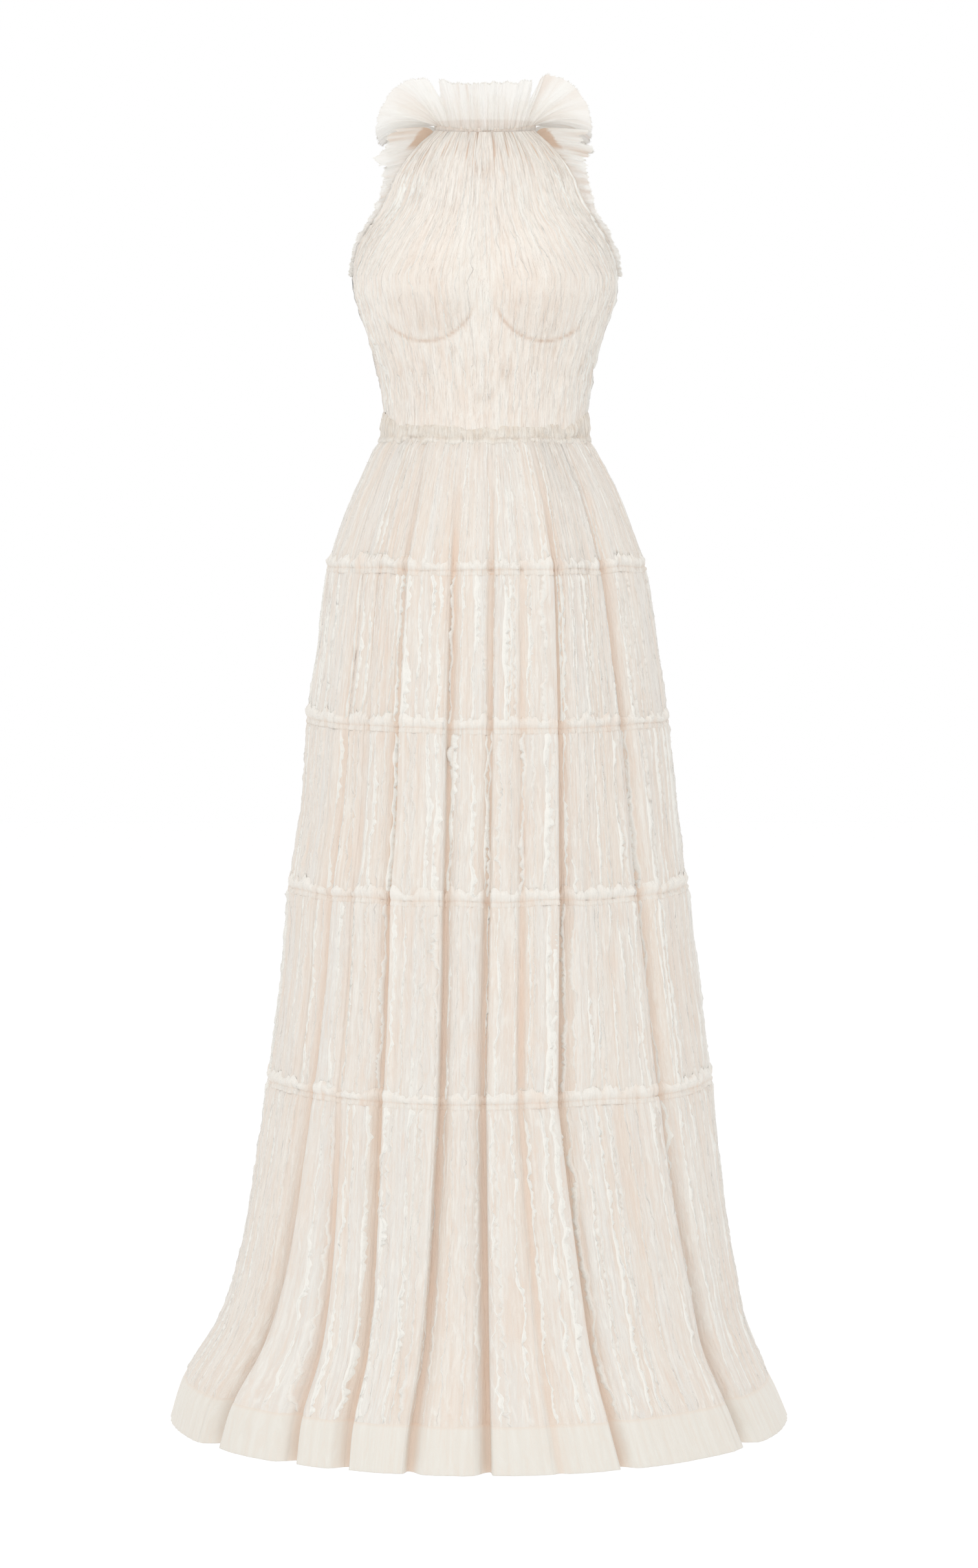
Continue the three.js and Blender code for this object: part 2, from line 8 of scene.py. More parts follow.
import bpy
import numpy as np
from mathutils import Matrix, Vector


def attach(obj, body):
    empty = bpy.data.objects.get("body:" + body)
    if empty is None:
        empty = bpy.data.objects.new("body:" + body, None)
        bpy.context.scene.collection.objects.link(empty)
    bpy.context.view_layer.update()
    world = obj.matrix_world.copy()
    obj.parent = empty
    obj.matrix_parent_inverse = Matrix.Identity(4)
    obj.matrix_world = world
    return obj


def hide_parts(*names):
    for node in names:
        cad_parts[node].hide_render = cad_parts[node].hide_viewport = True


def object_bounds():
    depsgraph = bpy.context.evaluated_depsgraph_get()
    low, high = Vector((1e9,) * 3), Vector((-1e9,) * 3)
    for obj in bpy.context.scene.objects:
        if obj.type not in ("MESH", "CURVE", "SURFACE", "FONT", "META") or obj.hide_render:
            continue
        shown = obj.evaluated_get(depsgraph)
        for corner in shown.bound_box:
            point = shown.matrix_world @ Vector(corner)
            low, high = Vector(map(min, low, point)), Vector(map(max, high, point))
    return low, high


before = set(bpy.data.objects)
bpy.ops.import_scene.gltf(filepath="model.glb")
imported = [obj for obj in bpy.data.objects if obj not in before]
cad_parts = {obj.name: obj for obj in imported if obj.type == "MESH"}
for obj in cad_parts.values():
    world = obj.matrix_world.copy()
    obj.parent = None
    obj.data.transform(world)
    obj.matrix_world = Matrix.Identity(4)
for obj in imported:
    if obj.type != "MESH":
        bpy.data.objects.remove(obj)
cad_box = [[float(value) for value in corner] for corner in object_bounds()]
bpy.ops.object.select_all(action="DESELECT")
MM = 0.001
DRESS = "dress"
print("frame nodes:", len(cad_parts), "box:", cad_box)

# %% [markdown]
# The camera stands where the photograph was taken from: a little below the bust, 5.6 m away, with
# a long lens that looks slightly down. A long lens keeps the sides of a tall dress upright, where
# a short one would make the hem look small.

# %% Camera
CAMERA_AT = Vector((0.0046, -5.6, -0.294))
CAMERA_AIM = Vector((0.0046, 0.0, -0.766))
LENS = 110.0
SENSOR_HEIGHT = 36.0

camera_data = bpy.data.cameras.new("studio_camera")
camera_data.sensor_fit = "VERTICAL"
camera_data.sensor_height = SENSOR_HEIGHT
camera_data.lens = LENS
camera = bpy.data.objects.new("studio_camera", camera_data)
camera.location = CAMERA_AT
camera.rotation_euler = (CAMERA_AIM - CAMERA_AT).to_track_quat("-Z", "Y").to_euler()
bpy.context.scene.collection.objects.link(camera)
bpy.context.scene.camera = camera
print("camera lens", camera_data.lens, "at", tuple(round(value, 3) for value in CAMERA_AT))

# %% [markdown]
# The dress is held up at its neck, so it doesn't stand on its hem. The floor is 0.4 m below it, out
# of the picture, which leaves the ground behind the dress as plain white as it was.

# %% Floor and white world
FLOOR_DROP = 0.4
FLOOR_SIZE = 24
FLOOR_Z = cad_box[0][2] - FLOOR_DROP
WHITE = (1, 1, 1, 1)

bpy.ops.mesh.primitive_plane_add(size=FLOOR_SIZE, location=(0, 0, FLOOR_Z))
floor = bpy.context.object
floor.name = "studio_floor"
floor_paint = bpy.data.materials.new("white_floor")
floor_paint.use_nodes = True
floor_shader = floor_paint.node_tree.nodes["Principled BSDF"]
floor_shader.inputs["Base Color"].default_value = WHITE
floor_shader.inputs["Roughness"].default_value = 0.9
floor.data.materials.append(floor_paint)

world = bpy.data.worlds.new("white_studio")
world.use_nodes = True
world_light = world.node_tree.nodes["Background"]
world_light.inputs["Color"].default_value = WHITE
world_light.inputs["Strength"].default_value = 1.0
bpy.context.scene.world = world
bpy.context.scene.view_settings.view_transform = "Standard"
print("floor at", round(FLOOR_Z, 3))

# %% [markdown]
# White cloth on a white ground shows its folds only by soft shading. A large light high on the
# left gives it, a weak one on the right keeps the far side from going grey, and one above lifts
# the shoulders of the frills. Smaller lights would draw hard shadows that the cloth doesn't have.


# %% Soft lights
LIGHTS = [
    {
        "name": "key_light", "place": (-1.5, -3.4, 1.8), "aim": (0, 0, -0.7), "size": 1.8,
        "power": 28,
    },
    {"name": "fill_light", "place": (2.6, -3.4, 0.6), "aim": (0, 0, -0.8), "size": 2.6, "power": 7},
    {"name": "top_light", "place": (0.2, -0.6, 2.6), "aim": (0, 0, -0.6), "size": 2.0, "power": 10},
]


def soft_light(name, place, aim, size, power):
    data = bpy.data.lights.new(name, "AREA")
    data.size = size
    data.energy = power
    light = bpy.data.objects.new(name, data)
    light.location = place
    light.rotation_euler = (Vector(aim) - Vector(place)).to_track_quat("-Z", "Y").to_euler()
    bpy.context.scene.collection.objects.link(light)


for light in LIGHTS:
    soft_light(**light)
print("lights:", [light["name"] for light in LIGHTS])

# %% [markdown]
# The cut of the dress is the same few tables that its solids are worked out from. The first one
# holds level rings of the cloth: how far it reaches to both sides, the front and the back at a
# height. Because the sheets read the same rings, they lie on the form of their solids.

# %% Heights of the seams
NECK_TILT = 6.0
NECKBAND_HEIGHT = 8.0
WAIST_TOP = -342.0
WAIST_SEAM = -361.0
SEAMS = [-511.0, -690.0, -885.0, -1114.0]
HEM_BAND_TOP = -1466.0
HEM = -1518.0
UNDERARM = -175.0
ZIP_HALF = 3.3
print("from neck to hem:", -HEM, "mm, tier seams at", SEAMS)

# %% Level rings of the cloth
RINGS = [
    {"z": 10, "right": 58, "left": 58, "front": 50, "back": 50},
    {"z": -4, "right": 60, "left": 60, "front": 51, "back": 53},
    {"z": -24, "right": 88, "left": 88, "front": 59, "back": 62},
    {"z": -48, "right": 116, "left": 116, "front": 69, "back": 73},
    {"z": -74, "right": 136, "left": 136, "front": 78, "back": 82},
    {"z": -110, "right": 149, "left": 149, "front": 88, "back": 90},
    {"z": -150, "right": 152, "left": 152, "front": 96, "back": 94},
    {"z": -190, "right": 151, "left": 152, "front": 99, "back": 93},
    {"z": -221, "right": 143, "left": 144, "front": 95, "back": 90},
    {"z": -258, "right": 131, "left": 132, "front": 90, "back": 85},
    {"z": -294, "right": 121, "left": 123, "front": 86, "back": 81},
    {"z": -342, "right": 117, "left": 118, "front": 84, "back": 79},
    {"z": -361, "right": 119, "left": 119, "front": 86, "back": 81},
    {"z": -376, "right": 128, "left": 127, "front": 93, "back": 93},
    {"z": -423, "right": 150, "left": 153, "front": 111, "back": 118},
    {"z": -469, "right": 169, "left": 171, "front": 129, "back": 139},
    {"z": -511, "right": 182, "left": 185, "front": 143, "back": 152},
    {"z": -606, "right": 195, "left": 201, "front": 160, "back": 166},
    {"z": -690, "right": 206, "left": 213, "front": 171, "back": 176},
    {"z": -788, "right": 214, "left": 224, "front": 182, "back": 186},
    {"z": -885, "right": 229, "left": 235, "front": 193, "back": 197},
    {"z": -971, "right": 236, "left": 246, "front": 203, "back": 207},
    {"z": -1114, "right": 254, "left": 264, "front": 219, "back": 223},
    {"z": -1244, "right": 274, "left": 280, "front": 238, "back": 242},
    {"z": -1335, "right": 291, "left": 294, "front": 254, "back": 259},
    {"z": -1400, "right": 314, "left": 307, "front": 272, "back": 276},
    {"z": -1466, "right": 354, "left": 335, "front": 300, "back": 304},
    {"z": -1518, "right": 371, "left": 357, "front": 318, "back": 322},
]
print("rings:", len(RINGS))

# %% [markdown]
# The armhole is cut as a line of angles, which is where the front ends at each height. It is cut
# in deepest a hand below the neck, as a halter is.

# %% Line of the armhole
ARMHOLE = [
    {"z": 10, "angle": 72},
    {"z": -24, "angle": 60},
    {"z": -74, "angle": 53},
    {"z": -100, "angle": 55.5},
    {"z": -125, "angle": 66},
    {"z": -150, "angle": 78.5},
    {"z": UNDERARM, "angle": 90},
]
print("the armhole is cut in to", min(row["angle"] for row in ARMHOLE), "degrees")

# %% [markdown]
# The skirt hangs in sixteen deep valleys, half of them placed as the front shows them and the
# rest as uneven ones round the back. A row has the angles of a valley at the first tier seam, the
# fourth one and the hem, how far it sinks at each of them, half the width of its narrow bottom at
# the top and at the hem, and which of its two sides laps over it.

# %% Deep folds of the skirt
FOLDS = [
    {"angles": (-50, -52, -57), "depths": (2, 9, 34), "half": (7, 10), "lap": 1},
    {"angles": (-41, -41, -36), "depths": (1, 4, 20), "half": (6, 9), "lap": 1},
    {"angles": (-30, -28, -25), "depths": (6, 12, 17), "half": (5, 8), "lap": 1},
    {"angles": (-12, -12, -14), "depths": (8, 14, 15), "half": (5, 7), "lap": -1},
    {"angles": (3, 0, 1), "depths": (6, 13, 19), "half": (4, 7), "lap": 1},
    {"angles": (13, 9, 14), "depths": (3, 7, 5), "half": (4, 6), "lap": 0},
    {"angles": (26, 19, 26), "depths": (8, 15, 16), "half": (6, 7), "lap": -1},
    {"angles": (47, 50, 58), "depths": (9, 13, 34), "half": (7, 10), "lap": -1},
    {"angles": (108, 110, 112), "depths": (6, 12, 24), "half": (6, 9), "lap": 1},
    {"angles": (126, 127, 129), "depths": (7, 13, 18), "half": (5, 8), "lap": -1},
    {"angles": (143, 145, 146), "depths": (4, 9, 22), "half": (6, 9), "lap": 1},
    {"angles": (163, 164, 166), "depths": (8, 14, 17), "half": (5, 7), "lap": -1},
    {"angles": (198, 195, 196), "depths": (7, 12, 20), "half": (5, 8), "lap": 1},
    {"angles": (214, 213, 211), "depths": (3, 8, 14), "half": (5, 7), "lap": 0},
    {"angles": (233, 231, 232), "depths": (7, 14, 24), "half": (6, 9), "lap": -1},
    {"angles": (251, 250, 249), "depths": (6, 11, 20), "half": (6, 8), "lap": 1},
]
FOLD_LEVELS = (HEM, SEAMS[3], SEAMS[0])
print("folds:", len(FOLDS))

# %% [markdown]
# A table has few rows, and cloth has no corners at them. So a smooth curve is read through each
# column, for many heights at once, and a ring is a rounded outline through its four reaches.


# %% Reading the tables
def column_of(table, name):
    return np.array([row[name] for row in table], dtype=float)


def smooth_read(table, name, at, key="z"):
    """A smooth curve through one column of a table, read at many values of its key."""
    keys = column_of(table, key)
    values = column_of(table, name)
    if keys[0] > keys[-1]:
        keys = keys[::-1]
        values = values[::-1]
    low = np.maximum(np.arange(len(keys)) - 1, 0)
    high = np.minimum(np.arange(len(keys)) + 1, len(keys) - 1)
    slopes = (values[high] - values[low]) / (keys[high] - keys[low])
    at = np.clip(at, keys[0], keys[-1])
    i = np.clip(np.searchsorted(keys, at, side="right") - 1, 0, len(keys) - 2)
    span = keys[i + 1] - keys[i]
    t = (at - keys[i]) / span
    return (
        values[i] * (1 + 2 * t) * (1 - t) ** 2
        + values[i + 1] * t * t * (3 - 2 * t)
        + slopes[i] * span * t * (1 - t) ** 2
        - slopes[i + 1] * span * t * t * (1 - t)
    )


def ring_point(angle, z, out):
    """Points on the rings at angles and heights, moved outwards, in millimetres."""
    angle, z, out = np.broadcast_arrays(angle, z, out)
    x = np.sin(np.radians(angle))
    y = -np.cos(np.radians(angle))
    across = np.where(x < 0, smooth_read(RINGS, "right", z), smooth_read(RINGS, "left", z))
    deep = np.where(y < 0, smooth_read(RINGS, "front", z), smooth_read(RINGS, "back", z))
    length = np.hypot(x / across, y / deep)
    points = np.stack([across * x, deep * y, z.astype(float)], axis=-1)
    normal = np.stack([x / across / length, y / deep / length, np.zeros(x.shape)], axis=-1)
    return points + normal * out[..., None]


def ring_speed(angle, z):
    """How many millimetres of cloth there are to a radian at an angle and height."""
    x = np.sin(np.radians(angle))
    y = np.cos(np.radians(angle))
    across = smooth_read(RINGS, "left", z)
    deep = smooth_read(RINGS, "front", z)
    return np.hypot(across * y, deep * x)


def ease(low, high, value):
    """0 below low, 1 above high, and a soft step between."""
    t = np.clip((value - low) / (high - low), 0, 1)
    return t * t * (3 - 2 * t)


def ring_length(z):
    around = ring_point(np.linspace(-180, 180, 181), z, 0.0)
    return float(np.linalg.norm(np.diff(around, axis=0), axis=1).sum())


print("waist:", round(ring_length(WAIST_TOP)), "mm round")
print("hem:", round(ring_length(HEM)), "mm round")

# %% [markdown]
# Cloth is never even. Soft random unevenness comes from a grid of seeded random values that is
# read with a soft step between its points. The grid can close on itself, so that a pattern runs
# round the skirt with no break.


# %% Uneven cloth
GRID_ROWS = 256
OPEN_COLUMNS = 1024
GRIDS = {}


def uneven_grid(seed, columns):
    if (seed, columns) not in GRIDS:
        GRIDS[seed, columns] = np.random.default_rng(seed).uniform(-1, 1, (GRID_ROWS, columns))
    return GRIDS[seed, columns]


def unevenness(seed, across, along, wide, tall, closed=0.0):
    """Soft noise from -1 to 1 over two coordinates, with cells wide by tall millimetres."""
    across, along = np.broadcast_arrays(across, along)
    columns = OPEN_COLUMNS
    if closed:
        columns = max(3, int(round(closed / wide)))
        wide = closed / columns
    grid = uneven_grid(seed, columns)
    u = across / wide
    v = along / tall
    iu = np.floor(u).astype(int)
    iv = np.floor(v).astype(int)
    fu = ease(0, 1, u - iu)
    fv = ease(0, 1, v - iv)
    a = grid[iv % GRID_ROWS, iu % columns]
    b = grid[iv % GRID_ROWS, (iu + 1) % columns]
    c = grid[(iv + 1) % GRID_ROWS, iu % columns]
    d = grid[(iv + 1) % GRID_ROWS, (iu + 1) % columns]
    return (a * (1 - fu) + b * fu) * (1 - fv) + (c * (1 - fu) + d * fu) * fv


def crinkle(seed, across, along, wide, tall, sway, closed=0.0):
    """Sharp wavy crinkles that run along the cloth: 0 in the creases and 1 on the ridges."""
    swayed = across + sway * unevenness(seed, across, along, 6 * wide, 14, closed)
    return 1 - np.abs(unevenness(seed + 1, swayed, along, wide, tall, closed))


print("one value of it:", float(unevenness(1, 5.0, 5.0, 10, 10)))

# %% [markdown]
# Every soft piece is one mesh with a UV map in metres of cloth, so that its weave and streaks
# follow the cloth, and with three numbers at each point: how much painted shade it gets, darkest
# deep in folds, creases, grooves and seams (on the bodice this number also holds the real tone of
# its lining), how near it is to a raw edge, and how peach its panel is. The materials read all
# three. A sheet that closes on itself has its UV map carried past the seam, or its last column
# would hold the whole pattern.


# %% One mesh of cloth
def new_mesh_piece(
    name, points, faces, uv, sink, edge, tint, material, slot="gauze", round_by=0.0
):
    """A mesh from points in millimetres and faces of four corners, riding on the dress."""
    mesh = bpy.data.meshes.new(name)
    points = np.asarray(points, dtype=np.float32) * MM
    faces = np.asarray(faces, dtype=np.int32)
    mesh.vertices.add(len(points))
    mesh.vertices.foreach_set("co", points.ravel())
    mesh.loops.add(4 * len(faces))
    mesh.loops.foreach_set("vertex_index", faces.ravel())
    mesh.polygons.add(len(faces))
    mesh.polygons.foreach_set("loop_start", np.arange(0, 4 * len(faces), 4, dtype=np.int32))
    mesh.update(calc_edges=True)
    layer = mesh.uv_layers.new(name="cloth")
    corners = np.asarray(uv, dtype=np.float32)[faces.ravel()].reshape(-1, 4, 2)
    if round_by:
        wrapped = corners[:, 0, 0] - corners[:, 3, 0] > round_by / 2
        corners[wrapped, 2:, 0] += round_by
    layer.data.foreach_set("uv", (corners * MM).ravel())
    # The first mask is painted shade, which the materials lay on in tan; on the bodice it also
    # holds the real tone of the lining.
    for key, values in (("sink", sink), ("edge", edge), ("tint", tint)):
        attribute = mesh.attributes.new(key, "FLOAT", "POINT")
        attribute.data.foreach_set("value", np.asarray(values, dtype=np.float32).ravel())
    mesh.polygons.foreach_set("use_smooth", [True] * len(mesh.polygons))
    mesh.materials.append(material)
    mesh.update()
    piece = bpy.data.objects.new(name, mesh)
    bpy.context.scene.collection.objects.link(piece)
    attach(piece, DRESS)
    return piece


print("masks at each point: sink, edge, tint")

# %% [markdown]
# A sheet is a grid of points, as a cloth is a grid of threads. It could be cut from a plane and
# pushed about, but a grid that is worked out keeps each column on one thread of the cloth.


# %% Sheets of cloth
def grid_faces(rows, columns, closed):
    """Faces of a grid whose rows run down and whose columns run to +X over the front."""
    across = np.arange(columns if closed else columns - 1)
    down = np.arange(rows - 1)
    c, r = np.meshgrid(across, down)
    nxt = (c + 1) % columns
    corners = [
        r * columns + c, (r + 1) * columns + c, (r + 1) * columns + nxt, r * columns + nxt,
    ]
    return np.stack(corners).reshape(4, -1).T


def sheet_piece(name, points, uv, sink, edge, tint, material, closed=False, slot="gauze"):
    """A grid of cloth. sink, edge and tint are each one number or an array over the grid."""
    rows, columns = points.shape[:2]
    faces = grid_faces(rows, columns, closed)
    zeros = np.zeros((rows, columns))
    masks = [(zeros + mask).ravel() for mask in (sink, edge, tint)]
    piece = new_mesh_piece(
        name, points.reshape(-1, 3), faces, uv.reshape(-1, 2), *masks, material, slot,
        CLOTH_ROUND if closed else 0.0,
    )
    print(name, "triangles:", 2 * len(faces))
    return piece


print("a grid of 2 by 3 points has", len(grid_faces(2, 3, False)), "faces")

# %% [markdown]
# A frayed tuck is a ridge pinched out of the cloth. Three lines make it: a foot, a crest and a
# second foot. Hundreds of them go in one piece. Their colour goes from a painted shadow, in tan, at
# the foot to white at the crest, with a little painted shadow at the second foot.

# %% Ribbons
RIBBON_EDGE = [0.05, 0.75, 0.25]
# Painted shadow: tan at the foot of a tuck, and a little at its second foot.
RIBBON_SHADE = [0.4, 0.0, 0.15]
RIBBON_TINT = 0.3


def ribbons_piece(name, ribbons, material):
    """Many narrow ribbons in one piece, each a foot line, a crest line and a second foot line."""
    rows = len(RIBBON_EDGE)
    points = []
    faces = []
    uvs = []
    start = 0
    for lines, uv in ribbons:
        count = len(uv)
        points.append(np.concatenate(lines))
        faces.append(start + grid_faces(rows, count, False))
        uvs.append(np.concatenate([uv + [2.0 * row, 0] for row in range(rows)]))
        start += rows * count
    points = np.concatenate(points)
    edge = np.concatenate([np.repeat(RIBBON_EDGE, len(uv)) for _, uv in ribbons])
    sink = np.concatenate([np.repeat(RIBBON_SHADE, len(uv)) for _, uv in ribbons])
    tint = np.full(len(sink), RIBBON_TINT)
    faces = np.concatenate(faces)
    piece = new_mesh_piece(name, points, faces, np.concatenate(uvs), sink, edge, tint, material)
    print(name, "triangles:", 2 * len(faces))
    return piece


print("lines in a ribbon:", len(RIBBON_EDGE))

# %% [markdown]
# Where gauze is torn, single threads stand out of it. Each is a tapered sliver of three faces
# that curls to one side, because thousands of round ones would be too many triangles.

# %% Frayed threads
THREAD_TAPER = ((0.0, 1.0), (0.4, 0.8), (0.75, 0.55), (1.0, 0.1))
THREAD_CURL = 0.6


def threads_piece(name, roots, directions, sides, material, seed, thick=0.5):
    """Frayed threads: each a thin tapered sliver that curls to one side."""
    rng = np.random.default_rng(seed)
    count = len(roots)
    curl = rng.uniform(-THREAD_CURL, THREAD_CURL, count)[:, None]
    length = np.linalg.norm(directions, axis=1)[:, None]
    points = []
    for share, width in THREAD_TAPER:
        middle = roots + directions * share + sides * curl * share**2 * length
        points.append(middle - sides * thick * width / 2)
        points.append(middle + sides * thick * width / 2)
    points = np.stack(points, axis=1).reshape(-1, 3)
    base = 8 * np.arange(count)[:, None]
    faces = [base + np.array([[2 * n, 2 * n + 1, 2 * n + 3, 2 * n + 2]]) for n in range(3)]
    faces = np.concatenate(faces)
    piece = new_mesh_piece(
        name, points, faces, points[:, [0, 2]], np.zeros(len(points)), np.ones(len(points)),
        np.zeros(len(points)), material,
    )
    print(name, "threads:", count)
    return piece


print("faces in a thread:", len(THREAD_TAPER) - 1)

# %% [markdown]
# The gauze is one shader effect in several tints. Streaks along the cloth mix the ivory of the
# outer layer with the peach of the layer under it. Cloth deep in a fold or crease is painted tan as
# shade, and a raw edge goes to white. A fine crepe and long wavy crinkles give the surface its
# relief. The effect is a node group that is built once, and each material sets its own colours and
# amounts.

# %% What the gauze effect takes and gives
COLOUR = "NodeSocketColor"
NUMBER = "NodeSocketFloat"
EFFECT_INPUTS = [
    {"name": "Ivory", "kind": COLOUR, "value": (0.70, 0.672, 0.63, 1)},
    {"name": "Peach", "kind": COLOUR, "value": (0.715, 0.64, 0.565, 1)},
    # The tan is painted shade for folds, creases, grooves and seams, and on the bodice also the
    # real tone of its lining.
    {"name": "Tan", "kind": COLOUR, "value": (0.72, 0.575, 0.47, 1)},
    {"name": "White", "kind": COLOUR, "value": (0.80, 0.78, 0.73, 1)},
    {"name": "Streaks", "kind": NUMBER, "value": 0.6},
    {"name": "Crinkles", "kind": NUMBER, "value": 1.0},
    # Creases is how strongly the crinkles of the relief get painted shade.
    {"name": "Creases", "kind": NUMBER, "value": 0.25},
]
EFFECT_OUTPUTS = [
    {"name": "Color", "kind": COLOUR},
    {"name": "Roughness", "kind": NUMBER},
    {"name": "Height", "kind": NUMBER},
]


def new_effect_group(name):
    """A node group with the sockets of the two tables, and its input and output nodes."""
    group = bpy.data.node_groups.new(name, "ShaderNodeTree")
    for row in EFFECT_INPUTS:
        socket = group.interface.new_socket(
            name=row["name"], in_out="INPUT", socket_type=row["kind"]
        )
        socket.default_value = row["value"]
    for row in EFFECT_OUTPUTS:
        group.interface.new_socket(name=row["name"], in_out="OUTPUT", socket_type=row["kind"])
    inputs = group.nodes.new("NodeGroupInput")
    outputs = group.nodes.new("NodeGroupOutput")
    return group, inputs.outputs, outputs.inputs


print("the effect gives", [row["name"] for row in EFFECT_OUTPUTS])

# %% [markdown]
# A shader is a web of small nodes. Most lines in one only place a node, set its numbers and join
# it to the next, so a helper does each of these steps once. Their patterns are stretched along
# the UV map of the cloth: the two scales are how often one repeats in a metre across the cloth
# and along it.


# %% Helpers for nodes
class ClothWeb:
    """Places nodes in one tree and joins them, with patterns that follow the cloth."""

    def __init__(self, tree):
        self.nodes = tree.nodes
        self.links = tree.links
        self.cloth = self.nodes.new("ShaderNodeUVMap")
        self.cloth.uv_map = "cloth"

    def noise(self, across, along, detail, distortion=0.0):
        mapping = self.nodes.new("ShaderNodeMapping")
        mapping.inputs["Scale"].default_value = (across, along, 1)
        self.links.new(self.cloth.outputs["UV"], mapping.inputs["Vector"])
        node = self.nodes.new("ShaderNodeTexNoise")
        node.inputs["Scale"].default_value = 1.0
        node.inputs["Detail"].default_value = detail
        node.inputs["Distortion"].default_value = distortion
        self.links.new(mapping.outputs["Vector"], node.inputs["Vector"])
        return node.outputs["Fac"]

    def spread(self, value, low, high, to_low=0.0, to_high=1.0):
        node = self.nodes.new("ShaderNodeMapRange")
        node.inputs["From Min"].default_value = low
        node.inputs["From Max"].default_value = high
        node.inputs["To Min"].default_value = to_low
        node.inputs["To Max"].default_value = to_high
        self.links.new(value, node.inputs["Value"])
        return node.outputs["Result"]

    def sum_or_product(self, operation, first, second):
        node = self.nodes.new("ShaderNodeMath")
        node.operation = operation
        for socket, value in zip(node.inputs, (first, second)):
            if isinstance(value, (int, float)):
                socket.default_value = value
            else:
                self.links.new(value, socket)
        return node.outputs["Value"]

    def plus(self, first, second):
        return self.sum_or_product("ADD", first, second)

    def times(self, first, second):
        return self.sum_or_product("MULTIPLY", first, second)

    def mixed(self, amount, first, second):
        node = self.nodes.new("ShaderNodeMix")
        node.data_type = "RGBA"
        self.links.new(amount, node.inputs["Factor"])
        self.links.new(first, node.inputs["A"])
        self.links.new(second, node.inputs["B"])
        return node.outputs["Result"]

    def mask(self, name):
        node = self.nodes.new("ShaderNodeAttribute")
        node.attribute_name = name
        return node.outputs["Fac"]


print("helpers:", [name for name in vars(ClothWeb) if not name.startswith("_")])

# %% [markdown]
# The colour is laid on in the order in which light meets the cloth: the panel's tint, lighter
# threads, painted shade in the creases and dents of the relief and a painted highlight on its
# raised crumples, and last the raw edges and the painted shade of folds, creases and seams from the
# mask, which on the bodice also holds the lining's tone. Lines are the long crinkles of the gauze,
# and crumples are the short ones across them.


# %% Colour and relief of the gauze
def gauze_colour(web, given, lines, crumples):
    broad = web.spread(web.noise(55, 1.6, 2, 0.3), 0.42, 0.62)
    narrow = web.spread(web.noise(260, 4.5, 2, 0.3), 0.42, 0.68)
    peachy = web.plus(web.times(broad, 0.35), web.mask("tint"))
    streak = web.times(peachy, given["Streaks"])
    colour = web.mixed(streak, given["Ivory"], given["Peach"])
    colour = web.mixed(web.times(narrow, 0.45), colour, given["White"])
    # Painted shade: the creases of the long crinkles and the dents of the crumples go towards tan.
    line_crease_shade = web.times(web.spread(lines, 0.5, 0.36), given["Creases"])
    colour = web.mixed(line_crease_shade, colour, given["Tan"])
    crumple_shade = web.times(web.spread(crumples, 0.47, 0.33), given["Creases"])
    colour = web.mixed(crumple_shade, colour, given["Tan"])
    # Painted highlight: the raised crumples go towards white.
    crumple_highlight = web.times(web.spread(crumples, 0.53, 0.68), 0.5)
    colour = web.mixed(crumple_highlight, colour, given["White"])
    colour = web.mixed(web.mask("edge"), colour, given["White"])
    # Painted shade of folds, creases and seams from the mask, with the bodice lining's real tone in
    # it.
    return web.mixed(web.mask("sink"), colour, given["Tan"])


def gauze_height(web, given, lines, crumples):
    crepe = web.noise(900, 900, 3)
    waves = web.noise(170, 22, 2, 1.2)
    relief = web.plus(web.times(lines, 0.5), web.times(waves, 0.8))
    relief = web.times(web.plus(relief, crumples), given["Crinkles"])
    return web.plus(relief, web.times(crepe, 0.22))


def build_gauze_effect():
    group, given, result = new_effect_group("gauze_effect")
    web = ClothWeb(group)
    lines = web.noise(420, 16, 3, 0.6)
    crumples = web.noise(230, 34, 3, 1.2)
    web.links.new(gauze_colour(web, given, lines, crumples), result["Color"])
    web.links.new(gauze_height(web, given, lines, crumples), result["Height"])
    web.links.new(web.spread(lines, 0.3, 0.7, 0.78, 0.95), result["Roughness"])
    return group


gauze_effect = build_gauze_effect()
print("nodes in the effect:", len(gauze_effect.nodes))

# %% [markdown]
# A gauze material shows the effect outside and one plain colour inside, which is the lining of
# the bodice, the bare cloth of the skirt or the sheer back of a frill. The frills are a single
# layer, so they let some light through: a translucent shader is mixed in, and their alpha is
# below one.

# %% Gauze materials
INSIDE = {
    "nude": (0.70, 0.50, 0.38, 1),
    "plain": (0.74, 0.66, 0.57, 1),
    "sheer": (0.80, 0.78, 0.73, 1),
}


BUMP_STRENGTH = 0.9
SHEEN = {"Sheen Weight": 0.2, "Sheen Roughness": 0.4, "Specular IOR Level": 0.2}


